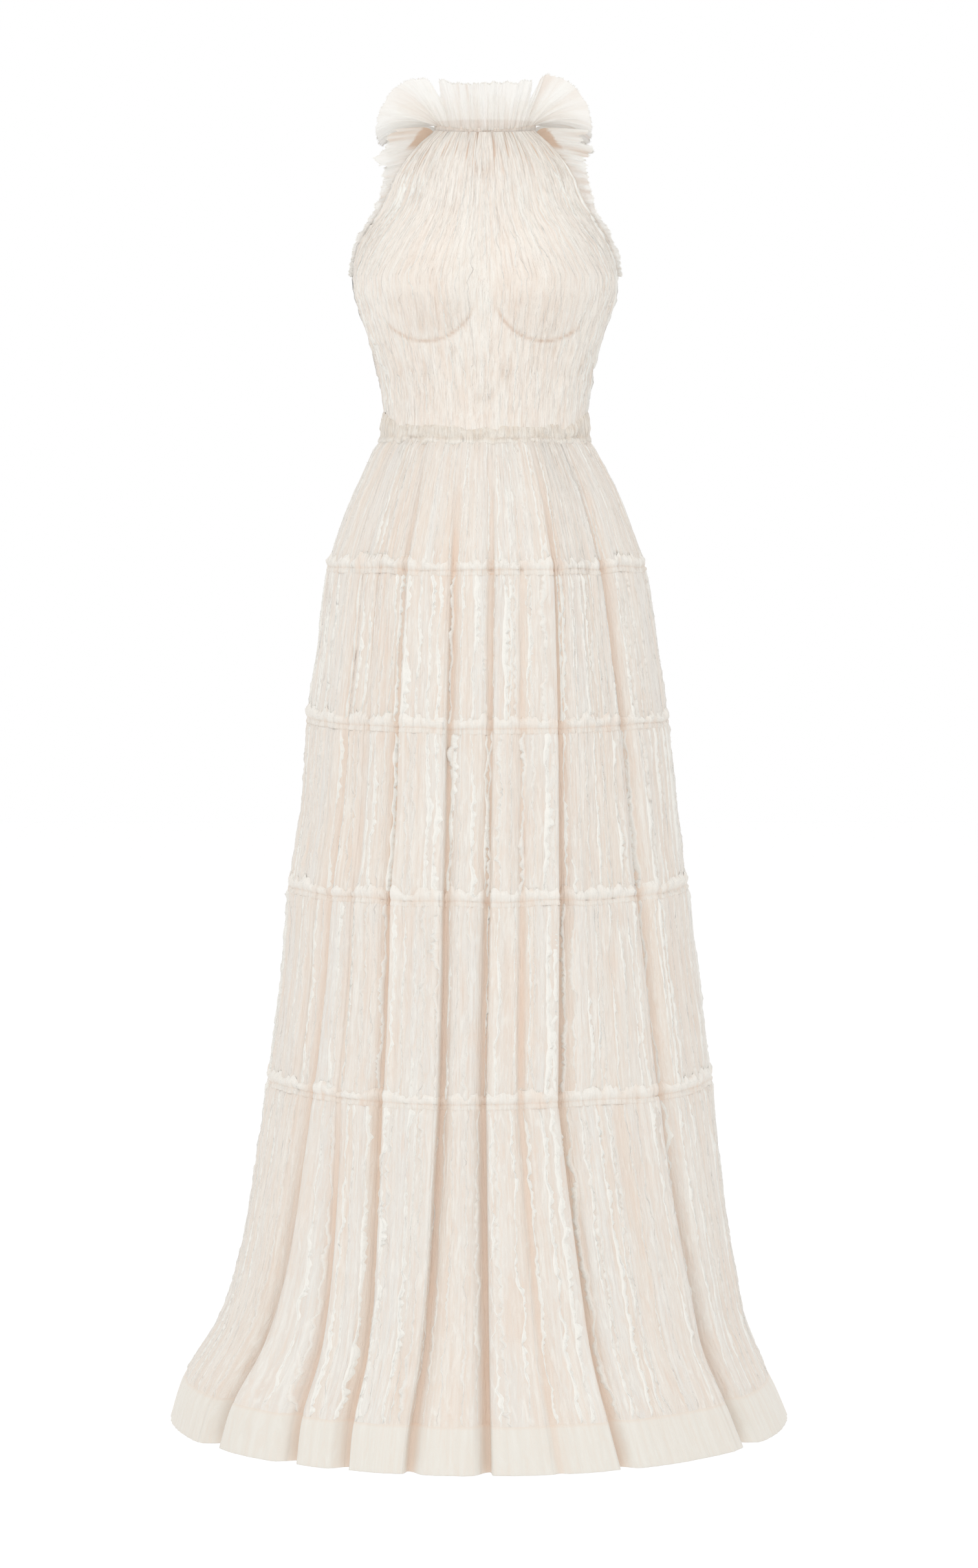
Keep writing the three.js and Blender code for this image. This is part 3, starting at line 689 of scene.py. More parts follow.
def gauze_material(name, inside, relief=1.2, alpha=1.0, through=0.0, **values):
    """A gauze with its own tints and amounts outside, and the colour of the layer inside it."""
    material = bpy.data.materials.new(name)
    material.use_nodes = True
    nodes = material.node_tree.nodes
    links = material.node_tree.links
    shader = nodes["Principled BSDF"]
    effect = nodes.new("ShaderNodeGroup")
    effect.node_tree = gauze_effect
    for socket, value in values.items():
        effect.inputs[socket.capitalize()].default_value = value
    facing = nodes.new("ShaderNodeNewGeometry")
    side = nodes.new("ShaderNodeMix")
    side.data_type = "RGBA"
    side.inputs["B"].default_value = INSIDE[inside]
    links.new(facing.outputs["Backfacing"], side.inputs["Factor"])
    links.new(effect.outputs["Color"], side.inputs["A"])
    links.new(side.outputs["Result"], shader.inputs["Base Color"])
    links.new(effect.outputs["Roughness"], shader.inputs["Roughness"])
    bump = nodes.new("ShaderNodeBump")
    bump.inputs["Strength"].default_value = BUMP_STRENGTH
    bump.inputs["Distance"].default_value = relief * MM
    links.new(effect.outputs["Height"], bump.inputs["Height"])
    links.new(bump.outputs["Normal"], shader.inputs["Normal"])
    for socket, value in SHEEN.items():
        shader.inputs[socket].default_value = value
    shader.inputs["Alpha"].default_value = alpha
    if through:
        glow = nodes.new("ShaderNodeBsdfTranslucent")
        both = nodes.new("ShaderNodeMixShader")
        both.inputs["Fac"].default_value = through
        links.new(side.outputs["Result"], glow.inputs["Color"])
        links.new(shader.outputs["BSDF"], both.inputs[1])
        links.new(glow.outputs["BSDF"], both.inputs[2])
        links.new(both.outputs["Shader"], nodes["Material Output"].inputs["Surface"])
    return material


# In each material the tan colour is painted shade (on the bodice also the lining's tone), and
# creases sets how strong the painted shade in the crinkles is.
skirt_gauze = gauze_material("skirt_gauze", "plain", streaks=0.8, crinkles=1.0)
bodice_gauze = gauze_material(
    "bodice_gauze", "nude", relief=1.7, streaks=0.55, crinkles=1.3, creases=0.24,
    ivory=(0.80, 0.76, 0.70, 1), peach=(0.78, 0.69, 0.61, 1), tan=(0.66, 0.52, 0.42, 1),
    white=(0.82, 0.80, 0.75, 1),
)
frill_gauze = gauze_material(
    "frill_gauze", "sheer", alpha=0.8, through=0.25, streaks=0.1, crinkles=1.1, creases=0.12,
    ivory=(0.87, 0.85, 0.80, 1), tan=(0.66, 0.48, 0.355, 1), white=(0.91, 0.90, 0.87, 1),
)
raw_edge = gauze_material("raw_edge", "sheer", streaks=0.3, crinkles=1.4, creases=0.3)
heading_gauze = gauze_material(
    "heading_gauze", "sheer", streaks=0.5, crinkles=1.2, creases=0.4,
    ivory=(0.725, 0.69, 0.635, 1), white=(0.79, 0.765, 0.715, 1),
)
waist_gauze = gauze_material(
    "waist_gauze", "plain", relief=2.0, streaks=0.3, crinkles=1.6, creases=0.5,
    ivory=(0.735, 0.69, 0.62, 1), tan=(0.665, 0.57, 0.475, 1), white=(0.80, 0.765, 0.705, 1),
)
hem_cloth = gauze_material(
    "hem_cloth", "plain", relief=0.7, streaks=0.3, crinkles=0.3, creases=0.12,
    ivory=(0.71, 0.68, 0.62, 1), white=(0.745, 0.72, 0.665, 1),
)
print("materials:", len(bpy.data.materials))

# %% [markdown]
# The skirt's grid of points has a column down every valley, and more columns crowded beside it,
# so that the steep sides of a valley stay sharp. An even grid would need far more triangles for
# that. Each column is a line of the cloth, and its place round the fourth seam, in millimetres,
# is its coordinate across the cloth.


# %% Columns of the skirt
VALLEY_SHARES = np.array([0, 0.012, 0.026, 0.042, 0.062, 0.086, 0.115])
SEAM_ROUND = 1640
PANEL_SHARE = 0.77
COARSE_SPACING = 2.8
FINE_SPACING = 1.7


def fold_value(fold, name, z):
    """A fold's angle or depth at a height: a straight line between its three levels."""
    return np.interp(z, FOLD_LEVELS, fold[name][::-1])


def column_angles(columns, z):
    """Angles of every column at every height, as an array of rows by columns."""
    z = np.asarray(z, dtype=float)
    valleys = np.array([fold_value(fold, "angles", z) for fold in FOLDS]).T
    left = valleys[:, [row[0] for row in columns]]
    right = valleys[:, [row[1] for row in columns]] + np.array([row[2] for row in columns])
    share = np.array([row[3] for row in columns])
    return left * (1 - share) + right * share


def cloth_columns(spacing):
    """The columns of a sheet: for each, the folds on both sides, its share between them, and
    its place round the cloth in millimetres."""
    columns = []
    for n, fold in enumerate(FOLDS):
        after = (n + 1) % len(FOLDS)
        turn = 360 if after == 0 else 0
        gap = FOLDS[after]["angles"][1] + turn - fold["angles"][1]
        inner = max(4, int(round(gap / 360 * SEAM_ROUND * PANEL_SHARE / spacing)))
        middle = np.linspace(VALLEY_SHARES[-1], 1 - VALLEY_SHARES[-1], inner)
        shares = np.concatenate([VALLEY_SHARES[:-1], middle, 1 - VALLEY_SHARES[:0:-1]])
        columns += [(n, after, turn, share) for share in shares]
    level = ring_point(column_angles(columns, [SEAMS[3]]), SEAMS[3], 0.0)[0]
    steps = np.linalg.norm(np.diff(level, axis=0, append=level[:1]), axis=1)
    return columns, np.concatenate([[0], np.cumsum(steps)[:-1]])


COARSE, COARSE_ACROSS = cloth_columns(COARSE_SPACING)
FINE, FINE_ACROSS = cloth_columns(FINE_SPACING)
CLOTH_ROUND = float(FINE_ACROSS[-1] + FINE_SPACING)
print("skirt columns:", len(COARSE), "and", len(FINE), "round:", round(CLOTH_ROUND), "mm")

# %% [markdown]
# Each valley is a broad soft dip with a narrow steep trough in it, and one of its sides laps over
# the trough, as a heavy fold does. Cloth simulation would give folds too, but not the ones that the
# front shows, so they are placed one by one. They fade out towards the waist.


# %% Shape of a fold
BROAD_REACH = 32


def fold_depth(fold, z):
    waist = np.clip((WAIST_SEAM - z) / (WAIST_SEAM - SEAMS[0]), 0, 1)
    return fold_value(fold, "depths", z) * waist


def skirt_fold(angle, z):
    """How far the folds press the cloth in, how deep it lies in a valley from 0 to 1, which also
    sets the painted shade of the folds, and how many degrees it laps to the side."""
    sunk = np.zeros(np.broadcast(angle, z).shape)
    deep = np.zeros(sunk.shape)
    lapped = np.zeros(sunk.shape)
    speed = ring_speed(angle, z)
    for fold in FOLDS:
        away = (angle - fold_value(fold, "angles", z) + 180) % 360 - 180
        arc = np.radians(away) * speed
        depth = fold_depth(fold, z)
        half = np.interp(z, (HEM, SEAMS[0]), fold["half"][::-1])
        broad = np.clip(1 - np.abs(arc) / BROAD_REACH, 0, 1) ** 1.6
        steep = arc * fold["lap"] > 0
        reach = half * np.where(steep, 1.0, 3.0 if fold["lap"] else 1.7)
        narrow = 1 - ease(0.12, 1.0, np.abs(arc) / reach)
        sunk += depth * (0.25 * broad + 0.8 * narrow)
        deep = np.maximum(deep, narrow**2.2 * np.clip(depth / 9, 0, 1))
        lap = 0.6 * fold["lap"] * half * np.clip(depth / 12, 0, 1) * (1 - 0.5 * narrow)
        side = np.exp(-(((arc * fold["lap"] - 1.1 * half) / (0.9 * half)) ** 2))
        lapped -= np.degrees(lap * side / speed) * (arc * fold["lap"] > 0)
    return sunk, deep, lapped


def pleats(across, down):
    """Soft pleats and crinkles of the gathered gauze, in millimetres outwards."""
    ripples = 1.0 * unevenness(11, across, down, 19, 170, CLOTH_ROUND)
    narrow = 1.1 * unevenness(12, across, down, 8.2, 75, CLOTH_ROUND)
    waves = 1.0 * (crinkle(13, across, down, 11, 40, 3.0, CLOTH_ROUND) - 0.5)
    return ripples + narrow + waves


def skirt_sheet(columns, across, z, out):
    """Points of the skirt at every height and column, and how much painted shade each gets in a
    fold or crease.
    """
    z = np.asarray(z, dtype=float)
    angle = column_angles(columns, z)
    sunk, deep, lapped = skirt_fold(angle, z[:, None])
    relief = pleats(across[None, :], -z[:, None])
    points = ring_point(angle + lapped, z[:, None], out - sunk + relief * (1 - 0.7 * deep))
    return points, np.clip(0.85 * deep + 0.2 * np.clip(-relief, 0, 1.5), 0, 1)


middle_fold = skirt_fold(np.array([0.0]), np.array([SEAMS[3]]))[0]
print("the middle fold sinks", round(float(middle_fold[0]), 1), "mm at the fourth seam")

# %% [markdown]
# Each tier is one tube of gauze, gathered to the tier above it. Under its seam the gathers are
# short and tight, and they open out further down. The first tier hangs from the waist, so its
# gathers are the deepest and its frayed tucks the lowest. The cut is how much longer the flat
# cloth is than the seam it is gathered to.

# %% Table of the tiers
LEVELS = [WAIST_SEAM, *SEAMS, HEM_BAND_TOP]
TIERS = [
    {"name": "tier_1", "gather": 2.0, "cut": 1.25, "tucks": 0.6},
    {"name": "tier_2", "gather": 1.1, "cut": 1.3, "tucks": 1.0},
    {"name": "tier_3", "gather": 1.1, "cut": 1.3, "tucks": 1.0},
    {"name": "tier_4", "gather": 1.1, "cut": 1.3, "tucks": 1.0},
    {"name": "tier_5", "gather": 1.1, "cut": 1.3, "tucks": 1.0},
]
for tier, top, bottom in zip(TIERS, LEVELS[:-1], LEVELS[1:]):
    tier["top"] = top
    tier["bottom"] = bottom
print("tiers:", [tier["top"] - tier["bottom"] for tier in TIERS], "mm deep")

# %% Places and tints of the panels
TUCK_SPACING = (6, 20)


def tuck_lines(seed, closest, widest, total):
    rng = np.random.default_rng(seed)
    places = [rng.uniform(0, closest)]
    while places[-1] < total - widest:
        places.append(places[-1] + rng.uniform(closest, widest))
    return np.array(places)


def panel_tint(across, down, places, seed):
    """From 0, ivory, to 1, peach: each panel between two tucks has its own tint."""
    panel = np.random.default_rng(seed).uniform(0, 1, len(places) + 1)
    streak = unevenness(seed, across, down, 26, 300, CLOTH_ROUND)
    return np.clip(0.9 * panel[np.searchsorted(places, across)] + 0.35 * streak, 0, 1)


print("tucks round a tier:", len(tuck_lines(80, *TUCK_SPACING, CLOTH_ROUND)))

# %% Tiers of the skirt
ROW_STEP = 5.0
SEAM_GAP = 0.2


def gathers(across, down, height, seed):
    """Tight short pleats just under a seam, in millimetres outwards."""
    pleat = unevenness(seed, across, down, 5.2, 55, CLOTH_ROUND)
    return height * pleat * np.exp(-down / 34)


def tier_gathers(tier, n, across, z):
    """How far a tier's cloth stands out for its gathers, at the given columns and heights."""
    top = (tier["top"] - z)[:, None]
    bottom = (z - tier["bottom"])[:, None]
    across = across[None, :]
    puff = 0.7 * ease(0, 9, top) * (1 + 1.6 * np.exp(-top / 30)) + 0.8 * ease(0, 8, bottom)
    return (
        gathers(across, top, tier["gather"], 40 + n)
        + 0.7 * gathers(across, bottom, tier["gather"], 50 + n)
        + puff - 0.6
    )


def make_tier(tier, n):
    rows = int(round((tier["top"] - tier["bottom"]) / ROW_STEP)) + 1
    z = np.linspace(tier["top"] - SEAM_GAP, tier["bottom"] + SEAM_GAP, rows)
    out = tier_gathers(tier, n, COARSE_ACROSS, z)
    points, sink = skirt_sheet(COARSE, COARSE_ACROSS, z, out)
    places = tuck_lines(80 + n, *TUCK_SPACING, CLOTH_ROUND)
    tint = panel_tint(COARSE_ACROSS[None, :], -z[:, None], places, 60 + n)
    uv = np.stack(np.broadcast_arrays(COARSE_ACROSS[None, :], z[:, None]), axis=-1)
    name = tier["name"] + "_cloth"
    piece = sheet_piece(name, points, uv, sink, 0.0, tint, skirt_gauze, closed=True)
    middle = (tier["top"] + tier["bottom"]) / 2
    cut = (tier["cut"] * ring_length(middle) * MM, (tier["top"] - tier["bottom"]) * MM)
    return piece, cut, places


tier_pieces = [make_tier(tier, n) for n, tier in enumerate(TIERS)]
print("tiers made:", len(tier_pieces))

# %% [markdown]
# Down every tier run narrow tucks whose raw edges were left to fray. Each is a low closed ridge
# on the cloth along a wavy line, ragged in width and height, with its crest to one side. An open
# strip would show a dark gap beneath it. Their spacing is uneven, as on the real cloth.


# %% Lines and size of a tuck
TUCK_WIDTH = 4.6
TUCK_LIFT = 1.8
STRENGTHS = [0.7, 0.95, 1.25]
STRENGTH_ODDS = [0.4, 0.35, 0.25]


def at_columns(values, grid):
    """Reads rows of a grid at fractional columns, one for each row, round the closed skirt."""
    whole = np.floor(values).astype(int)
    part = (values - whole)[:, None]
    rows = np.arange(len(values))
    columns = grid.shape[1]
    return grid[rows, whole % columns] * (1 - part) + grid[rows, (whole + 1) % columns] * part


def tuck_size(place, down, strength, seed):
    """How wide a tuck is and how far it stands out, down its length: both are ragged."""
    body = np.clip(0.85 + 0.6 * unevenness(seed, place * 3.0, down, 10, 36), 0.35, 1.3) * strength
    flutter = unevenness(seed + 1, place * 11.0, down, 10, 5.5)
    ragged = unevenness(seed + 2, place * 13.0, down, 10, 2.6)
    width = TUCK_WIDTH * body * (1 + 0.3 * flutter + 0.45 * ragged)
    return width, TUCK_LIFT * body * (1 + 0.4 * flutter + 0.3 * ragged)


def tuck_sway(seed, after, place, down, reach, bend):
    """How far a tuck wanders to the side down its length, in slow bends and small ones."""
    slow = reach * unevenness(seed, place * 7.0, down, 10, bend)
    return slow + reach / 2 * unevenness(seed + after, place * 5.0, down, 10, 7)


def tuck_ribbon(foot, beside, normal, lift):
    """The three lines of a tuck: its foot, the crest, and where its raw edge lies down."""
    crest = 0.4 * foot + 0.6 * beside + normal * lift[:, None]
    return foot, crest, beside


def tuck_threads(name, ribbons, count, length, seed):
    """Frayed threads that stick out of the crests of the tucks."""
    rng = np.random.default_rng(seed)
    feet = np.concatenate([lines[0] for lines, _ in ribbons])
    crests = np.concatenate([lines[1] for lines, _ in ribbons])
    besides = np.concatenate([lines[2] for lines, _ in ribbons])
    chosen = rng.integers(0, len(crests), count)
    side = besides[chosen] - feet[chosen]
    side /= np.maximum(np.linalg.norm(side, axis=1), 0.5)[:, None]
    out = crests[chosen] - 0.5 * (feet + besides)[chosen]
    out /= np.maximum(np.linalg.norm(out, axis=1), 0.5)[:, None]
    direction = side * rng.uniform(0.3, 1.0, (count, 1)) + out * rng.uniform(0.1, 0.6, (count, 1))
    direction[:, 2] += rng.uniform(-0.9, 0.5, count)
    direction *= length * rng.uniform(0.4, 1.0, (count, 1))
    upright = np.tile([0.0, 0.0, 1.0], (count, 1))
    return threads_piece(name, crests[chosen], direction, upright, raw_edge, seed, thick=0.4)


print("a tuck is up to", TUCK_WIDTH * STRENGTHS[-1], "mm wide before it is torn ragged")

# %% Frayed tucks of the skirt
TUCK_ROW_STEP = 3.0
TIER_THREADS = {"count": 2000, "length": 3.4}


def make_tucks(tier, n, places):
    rng = np.random.default_rng(70 + n)
    rows = int(round((tier["top"] - tier["bottom"]) / TUCK_ROW_STEP)) + 1
    z = np.linspace(tier["top"] - 2, tier["bottom"] + 1, rows)
    out = tier_gathers(tier, n, COARSE_ACROSS, z)
    low, _ = skirt_sheet(COARSE, COARSE_ACROSS, z, out - 0.3)
    high, _ = skirt_sheet(COARSE, COARSE_ACROSS, z, out + 1)
    outward = high - low
    outward /= np.linalg.norm(outward, axis=2)[..., None]
    around = np.array([ring_length(level) for level in z])
    ends = 0.25 + 0.75 * ease(0, 10, tier["top"] - z) * ease(0, 6, z - tier["bottom"])
    ribbons = []
    for place in places:
        sway = tuck_sway(90 + n, 5, place, -z, 2.2, 19)
        column = np.interp(place + sway, COARSE_ACROSS, np.arange(len(COARSE)))
        strength = ends * tier["tucks"] * rng.choice(STRENGTHS, p=STRENGTH_ODDS)
        width, lift = tuck_size(place, -z, strength, 100 + 5 * n)
        reach = rng.choice([-1, 1]) * width * ring_length(SEAMS[3]) / around
        beside = np.interp(place + sway + reach, COARSE_ACROSS, np.arange(len(COARSE)))
        foot = at_columns(column, low)
        lines = tuck_ribbon(foot, at_columns(beside, low), at_columns(column, outward), lift)
        ribbons.append((lines, np.stack([np.full(len(z), place), z], axis=1)))
    threads = tuck_threads(tier["name"] + "_threads", ribbons, seed=130 + n, **TIER_THREADS)
    return ribbons_piece(tier["name"] + "_tucks", ribbons, raw_edge), threads


tuck_pieces = [make_tucks(tier, n, tier_pieces[n][2]) for n, tier in enumerate(TIERS)]
print("tucked tiers:", len(tuck_pieces))

# %% [markdown]
# A raw, frilled heading stands above each tier seam, held by a shirred cord of stitching. It is a
# soft wavy strip that follows the cloth under it into the valleys, and lies down again at its
# ragged top edge. Standing free there, it would throw a dark line on the tier above.

# %% Section of a heading
HEADING_PROFILE = [
    {"up": -4.6, "out": -0.1, "free": 0},
    {"up": -3.4, "out": 1.0, "free": 0},
    {"up": -1.4, "out": 1.7, "free": 0},
    {"up": 0.6, "out": 1.4, "free": 0},
    {"up": 2.0, "out": 0.7, "free": 0.1},
    {"up": 4.0, "out": 1.0, "free": 0.35},
    {"up": 6.5, "out": 1.2, "free": 0.6},
    {"up": 9.0, "out": 1.1, "free": 0.8},
    {"up": 11.5, "out": 0.7, "free": 0.5},
    {"up": 13.2, "out": 0.2, "free": 0.1},
    {"up": 14.4, "out": -0.4, "free": 0},
]
# Heights that get a line of painted shade: the groove between the cord and the frill, and the
# heading's lower edge.
SHADED_GROOVES = (2.0, -4.6)
print("a heading is", HEADING_PROFILE[-1]["up"] - HEADING_PROFILE[0]["up"], "mm high")


# %% Headings over the tier seams
def cloth_relief(n, across, angle, z):
    """How far the cloth of a tier stands out at the given places, without its folds."""
    _, deep, _ = skirt_fold(angle, z)
    out = tier_gathers(TIERS[n], n, across, np.array([z]))[0]
    return out + pleats(across, -z) * (1 - 0.7 * deep)


def make_heading(seam, n):
    across = FINE_ACROSS
    ragged = 1 + 0.3 * unevenness(200 + n, across, 0.0, 12, 10, CLOTH_ROUND)
    ragged = ragged + 0.2 * unevenness(205 + n, across, 0.0, 3.4, 10, CLOTH_ROUND)
    angle = column_angles(FINE, [seam])[0]
    sunk, deep, lapped = skirt_fold(angle, seam)
    dip = 2.2 * unevenness(230 + n, across, 0.0, 60, 10, CLOTH_ROUND) - 0.2 * sunk
    rows = []
    sinks = []
    for step in HEADING_PROFILE:
        free = step["free"]
        height = seam + step["up"]
        wave = 0.5 + 0.5 * unevenness(210 + n, across, free * 6.0, 11, 10, CLOTH_ROUND)
        flutter = 0.5 + 0.5 * unevenness(215 + n, across, free * 9.0, 5.4, 8, CLOTH_ROUND)
        shirr = 0.9 * unevenness(220 + n, across, step["up"], 3.8, 12, CLOTH_ROUND)
        relief = free * (2.4 * wave + 2.6 * flutter) + (1 - free) * shirr
        under = cloth_relief(n - 1 if step["up"] > 0 else n, across, angle, height)
        offset = under + step["out"] + relief - sunk
        point = ring_point(angle + lapped, np.full(len(angle), height), offset)
        point[:, 2] = seam + dip + step["up"] * np.where(step["up"] > 2, ragged, 1)
        rows.append(point)
        # Painted shade in the hollows of the frill, in the folds' valleys and along its two
        # grooves.
        hollow_shade = 0.6 * np.clip(1.0 - wave - flutter, 0, 1)
        sinks.append(0.8 * deep + hollow_shade + (0.25 if step["up"] in SHADED_GROOVES else 0))
    points = np.stack(rows[::-1])
    heights = np.array([step["up"] for step in HEADING_PROFILE][::-1])[:, None] + seam
    uv = np.stack(np.broadcast_arrays(across[None, :], heights), axis=-1)
    sink = np.clip(np.stack(sinks[::-1]), 0, 1)
    tint = 0.2 + 0.3 * unevenness(240 + n, across, 0.0, 30, 10, CLOTH_ROUND)[None, :]
    edge = 0.2 + 0.55 * ease(1, 9, heights - seam)
    name = f"heading_{n}_frill"
    piece = sheet_piece(name, points, uv, sink, edge, tint, heading_gauze, closed=True)
    return piece, points[0]


heading_pieces = [make_heading(seam, n + 1) for n, seam in enumerate(SEAMS)]
print("headings:", len(heading_pieces))

# %% [markdown]
# A raw edge is never clean. Short threads are scattered along its line, and each takes a
# direction near the cloth's own.


# %% Threads of a raw edge
def frayed_edge(name, line, up, seed, per_point, length, closed=True):
    """Short threads that stand out of a raw edge, given as a line of points."""
    rng = np.random.default_rng(seed)
    count = len(line) * per_point
    at = rng.uniform(0, len(line) - (0 if closed else 1), count)
    whole = at.astype(int)
    part = (at - whole)[:, None]
    roots = line[whole % len(line)] * (1 - part) + line[(whole + 1) % len(line)] * part
    ahead = line[(whole + 1) % len(line)] - line[whole % len(line)]
    ahead /= np.maximum(np.linalg.norm(ahead, axis=1), 1e-6)[:, None]
    up = np.broadcast_to(up, line.shape)[whole % len(line)]
    tilt = rng.uniform(-0.8, 0.8, count)[:, None]
    reach = rng.uniform(0.35, 1.0, count)[:, None] * length
    direction = up + ahead * tilt + rng.uniform(-0.35, 0.35, (count, 3))
    direction *= reach / np.linalg.norm(direction, axis=1)[:, None]
    return threads_piece(name, roots - direction * 0.15, direction, ahead, raw_edge, seed)


UPWARDS = np.array([0, 0, 1.0])
heading_threads = [
    frayed_edge(f"heading_{n + 1}_threads", line, UPWARDS, 300 + n, per_point=2, length=4.0)
    for n, (_, line) in enumerate(heading_pieces)
]
print("frayed headings:", len(heading_threads))

# %% [markdown]
# The hem is a deep plain band, sewn on flat and folded inside at its bottom, so its lower edge is
# a soft fold. Its surface is smooth but for the weave and a few puckers at its top seam. Its
# section is drawn as steps down from that seam, out of the fold and back up inside.

# %% Section of the hem band
HEM_PROFILE = [
    {"up": 1.5, "out": -0.5},
    {"up": -0.5, "out": 0.35},
    {"up": -3.5, "out": 0.7},
    {"up": -8, "out": 1.1},
    {"up": -14, "out": 1.2},
    {"up": -20, "out": 1.2},
    {"up": -27, "out": 1.2},
    {"up": -34, "out": 1.2},
    {"up": -41, "out": 1.2},
    {"up": -47, "out": 1.2},
    {"up": -50.6, "out": 1.2},
    {"up": -51.4, "out": 0.9},
    {"up": -51.2, "out": 0.3},
    {"up": -49, "out": 0.1},
    {"up": -32, "out": -0.2},
]
print("steps down the hem band:", len(HEM_PROFILE))


# %% Hem band
def make_hem():
    heights = HEM_BAND_TOP + np.array([step["up"] for step in HEM_PROFILE], dtype=float)
    lift = np.array([step["out"] for step in HEM_PROFILE])[:, None]
    across = FINE_ACROSS[None, :]
    down = np.maximum(HEM_BAND_TOP - heights, 0)[:, None]
    angle = column_angles(FINE, heights)
    sunk, deep, lapped = skirt_fold(angle, heights[:, None])
    pucker = 1.3 * unevenness(230, across, down, 11, 40, CLOTH_ROUND) * np.exp(-down / 20)
    soft = 1.0 * unevenness(231, across, down, 30, 90, CLOTH_ROUND)
    places = tier_pieces[4][2]
    nearest = np.abs(FINE_ACROSS[:, None] - places[None, :]).min(axis=1)
    tuck = 0.8 * np.exp(-((nearest / 1.8) ** 2))[None, :]
    under = cloth_relief(4, FINE_ACROSS, column_angles(FINE, [HEM_BAND_TOP])[0], HEM_BAND_TOP)
    joined = np.exp(-down / 11)
    relief = (pucker + soft + tuck) * (1 - joined) * (1 - 0.6 * deep) + joined * under[None, :]
    points = ring_point(angle + lapped, heights[:, None], lift + relief - sunk)
    uv = np.stack(np.broadcast_arrays(across, heights[:, None]), axis=-1)
    tint = 0.6 * panel_tint(across, -heights[:, None], places, 64)
    # Painted shade: a faint dark line just under the top seam, and the folds' valleys.
    seam_shade = 0.3 * np.exp(-((down - 0.5) / 1.6) ** 2)
    sink = np.clip(0.75 * deep + seam_shade, 0, 1)
    return sheet_piece(
        "hem_band_cloth", points, uv, sink, 0.5 * tuck, tint, hem_cloth,
        closed=True, slot="hem_cloth",
    )


hem_piece = make_hem()
print("hem band round:", round(ring_length(HEM)), "mm")

# %% [markdown]
# The bodice is fitted over two cups, and the wires under them press a thin curved crease into the
# gauze. A cup is a soft mound added to the rings, flatter above than below, and the crease is a
# groove along an arc, cut into the same points.

# %% Cups and wires
CUP = {"x": 68, "z": -188, "lift": 27, "across": 66, "above": 100, "below": 64}
WIRE = {"radius": 58, "drop": 3, "inner": -10, "outer": -148}


def cup_lift(x, z):
    across = (np.abs(x) - CUP["x"]) / CUP["across"]
    height = (z - CUP["z"]) / np.where(z > CUP["z"], CUP["above"], CUP["below"])
    inside = np.clip(1 - across**2 - height**2, 0, 1)
    return CUP["lift"] * inside**1.6


def wire_crease(x, z):
    """1 on the curved line under each cup, falling to 0 within a few millimetres."""
    dx = CUP["x"] - np.abs(x)
    dz = z - (CUP["z"] - WIRE["drop"])
    turn = np.degrees(np.arctan2(dz, dx))
    line = np.exp(-(((np.hypot(dx, dz) - WIRE["radius"]) / 1.9) ** 2))
    ends = ease(WIRE["outer"], WIRE["outer"] + 25, turn)
    ends = ends * (1 - ease(WIRE["inner"] - 25, WIRE["inner"], turn))
    return line * ends


def torso_point(angle, z, out):
    points = ring_point(angle, z, out)
    front = np.clip(-points[..., 1] / 40, 0, 1)
    crease = wire_crease(points[..., 0], points[..., 2]) * (points[..., 1] < 0)
    points[..., 1] -= front * cup_lift(points[..., 0], points[..., 2]) - 1.6 * crease
    return points, crease


print("each cup stands out", CUP["lift"], "mm")

# %% [markdown]
# The front and the two backs are grids whose columns run from the neck seam to just under the
# waist band. Fine gathers fan out from the neck seam, and below the cups the crinkles are dense
# and wavy. They flatten where the waist band holds them.

# %% Gathers of the bodice
BODICE_LEVELS = np.linspace(0, WAIST_TOP - 9, 118)


def neck_height(angle):
    return -NECK_TILT * np.cos(np.radians(angle))


def bodice_heights(level, angle):
    top = neck_height(angle) - NECKBAND_HEIGHT / 2
    return level + top * np.clip(1 + level / 60, 0, 1)


def bodice_relief(across, z, seed):
    """Fan of gathers below the neck, and wavy crinkles over the rest, in millimetres."""
    down = -z
    fan = np.clip(1 - down / 110, 0, 1)
    pleat = (crinkle(seed, across, down, 5.0, 60, 1.4) - 0.55) * (3.4 * fan + 0.3)
    dense = ease(140, 250, down)
    waves = (crinkle(seed + 3, across, down, 7.0, 26, 4.0) - 0.5) * (1.3 + 2.0 * dense)
    fine = 0.6 * unevenness(seed + 6, across, down, 4.2, 20)
    at_neck = 0.35 + 0.65 * ease(0, 16, down)
    at_waist = 0.15 + 0.85 * ease(0, 30, z - WAIST_TOP)
    return (pleat + waves + fine) * at_neck * at_waist


print("levels down the bodice:", len(BODICE_LEVELS))

# %% Bodice front and backs
FRONT_COLUMNS = 281
BACK_COLUMNS = 141
FRONT_CUT = 200.0
BACK_CUT = 150.0


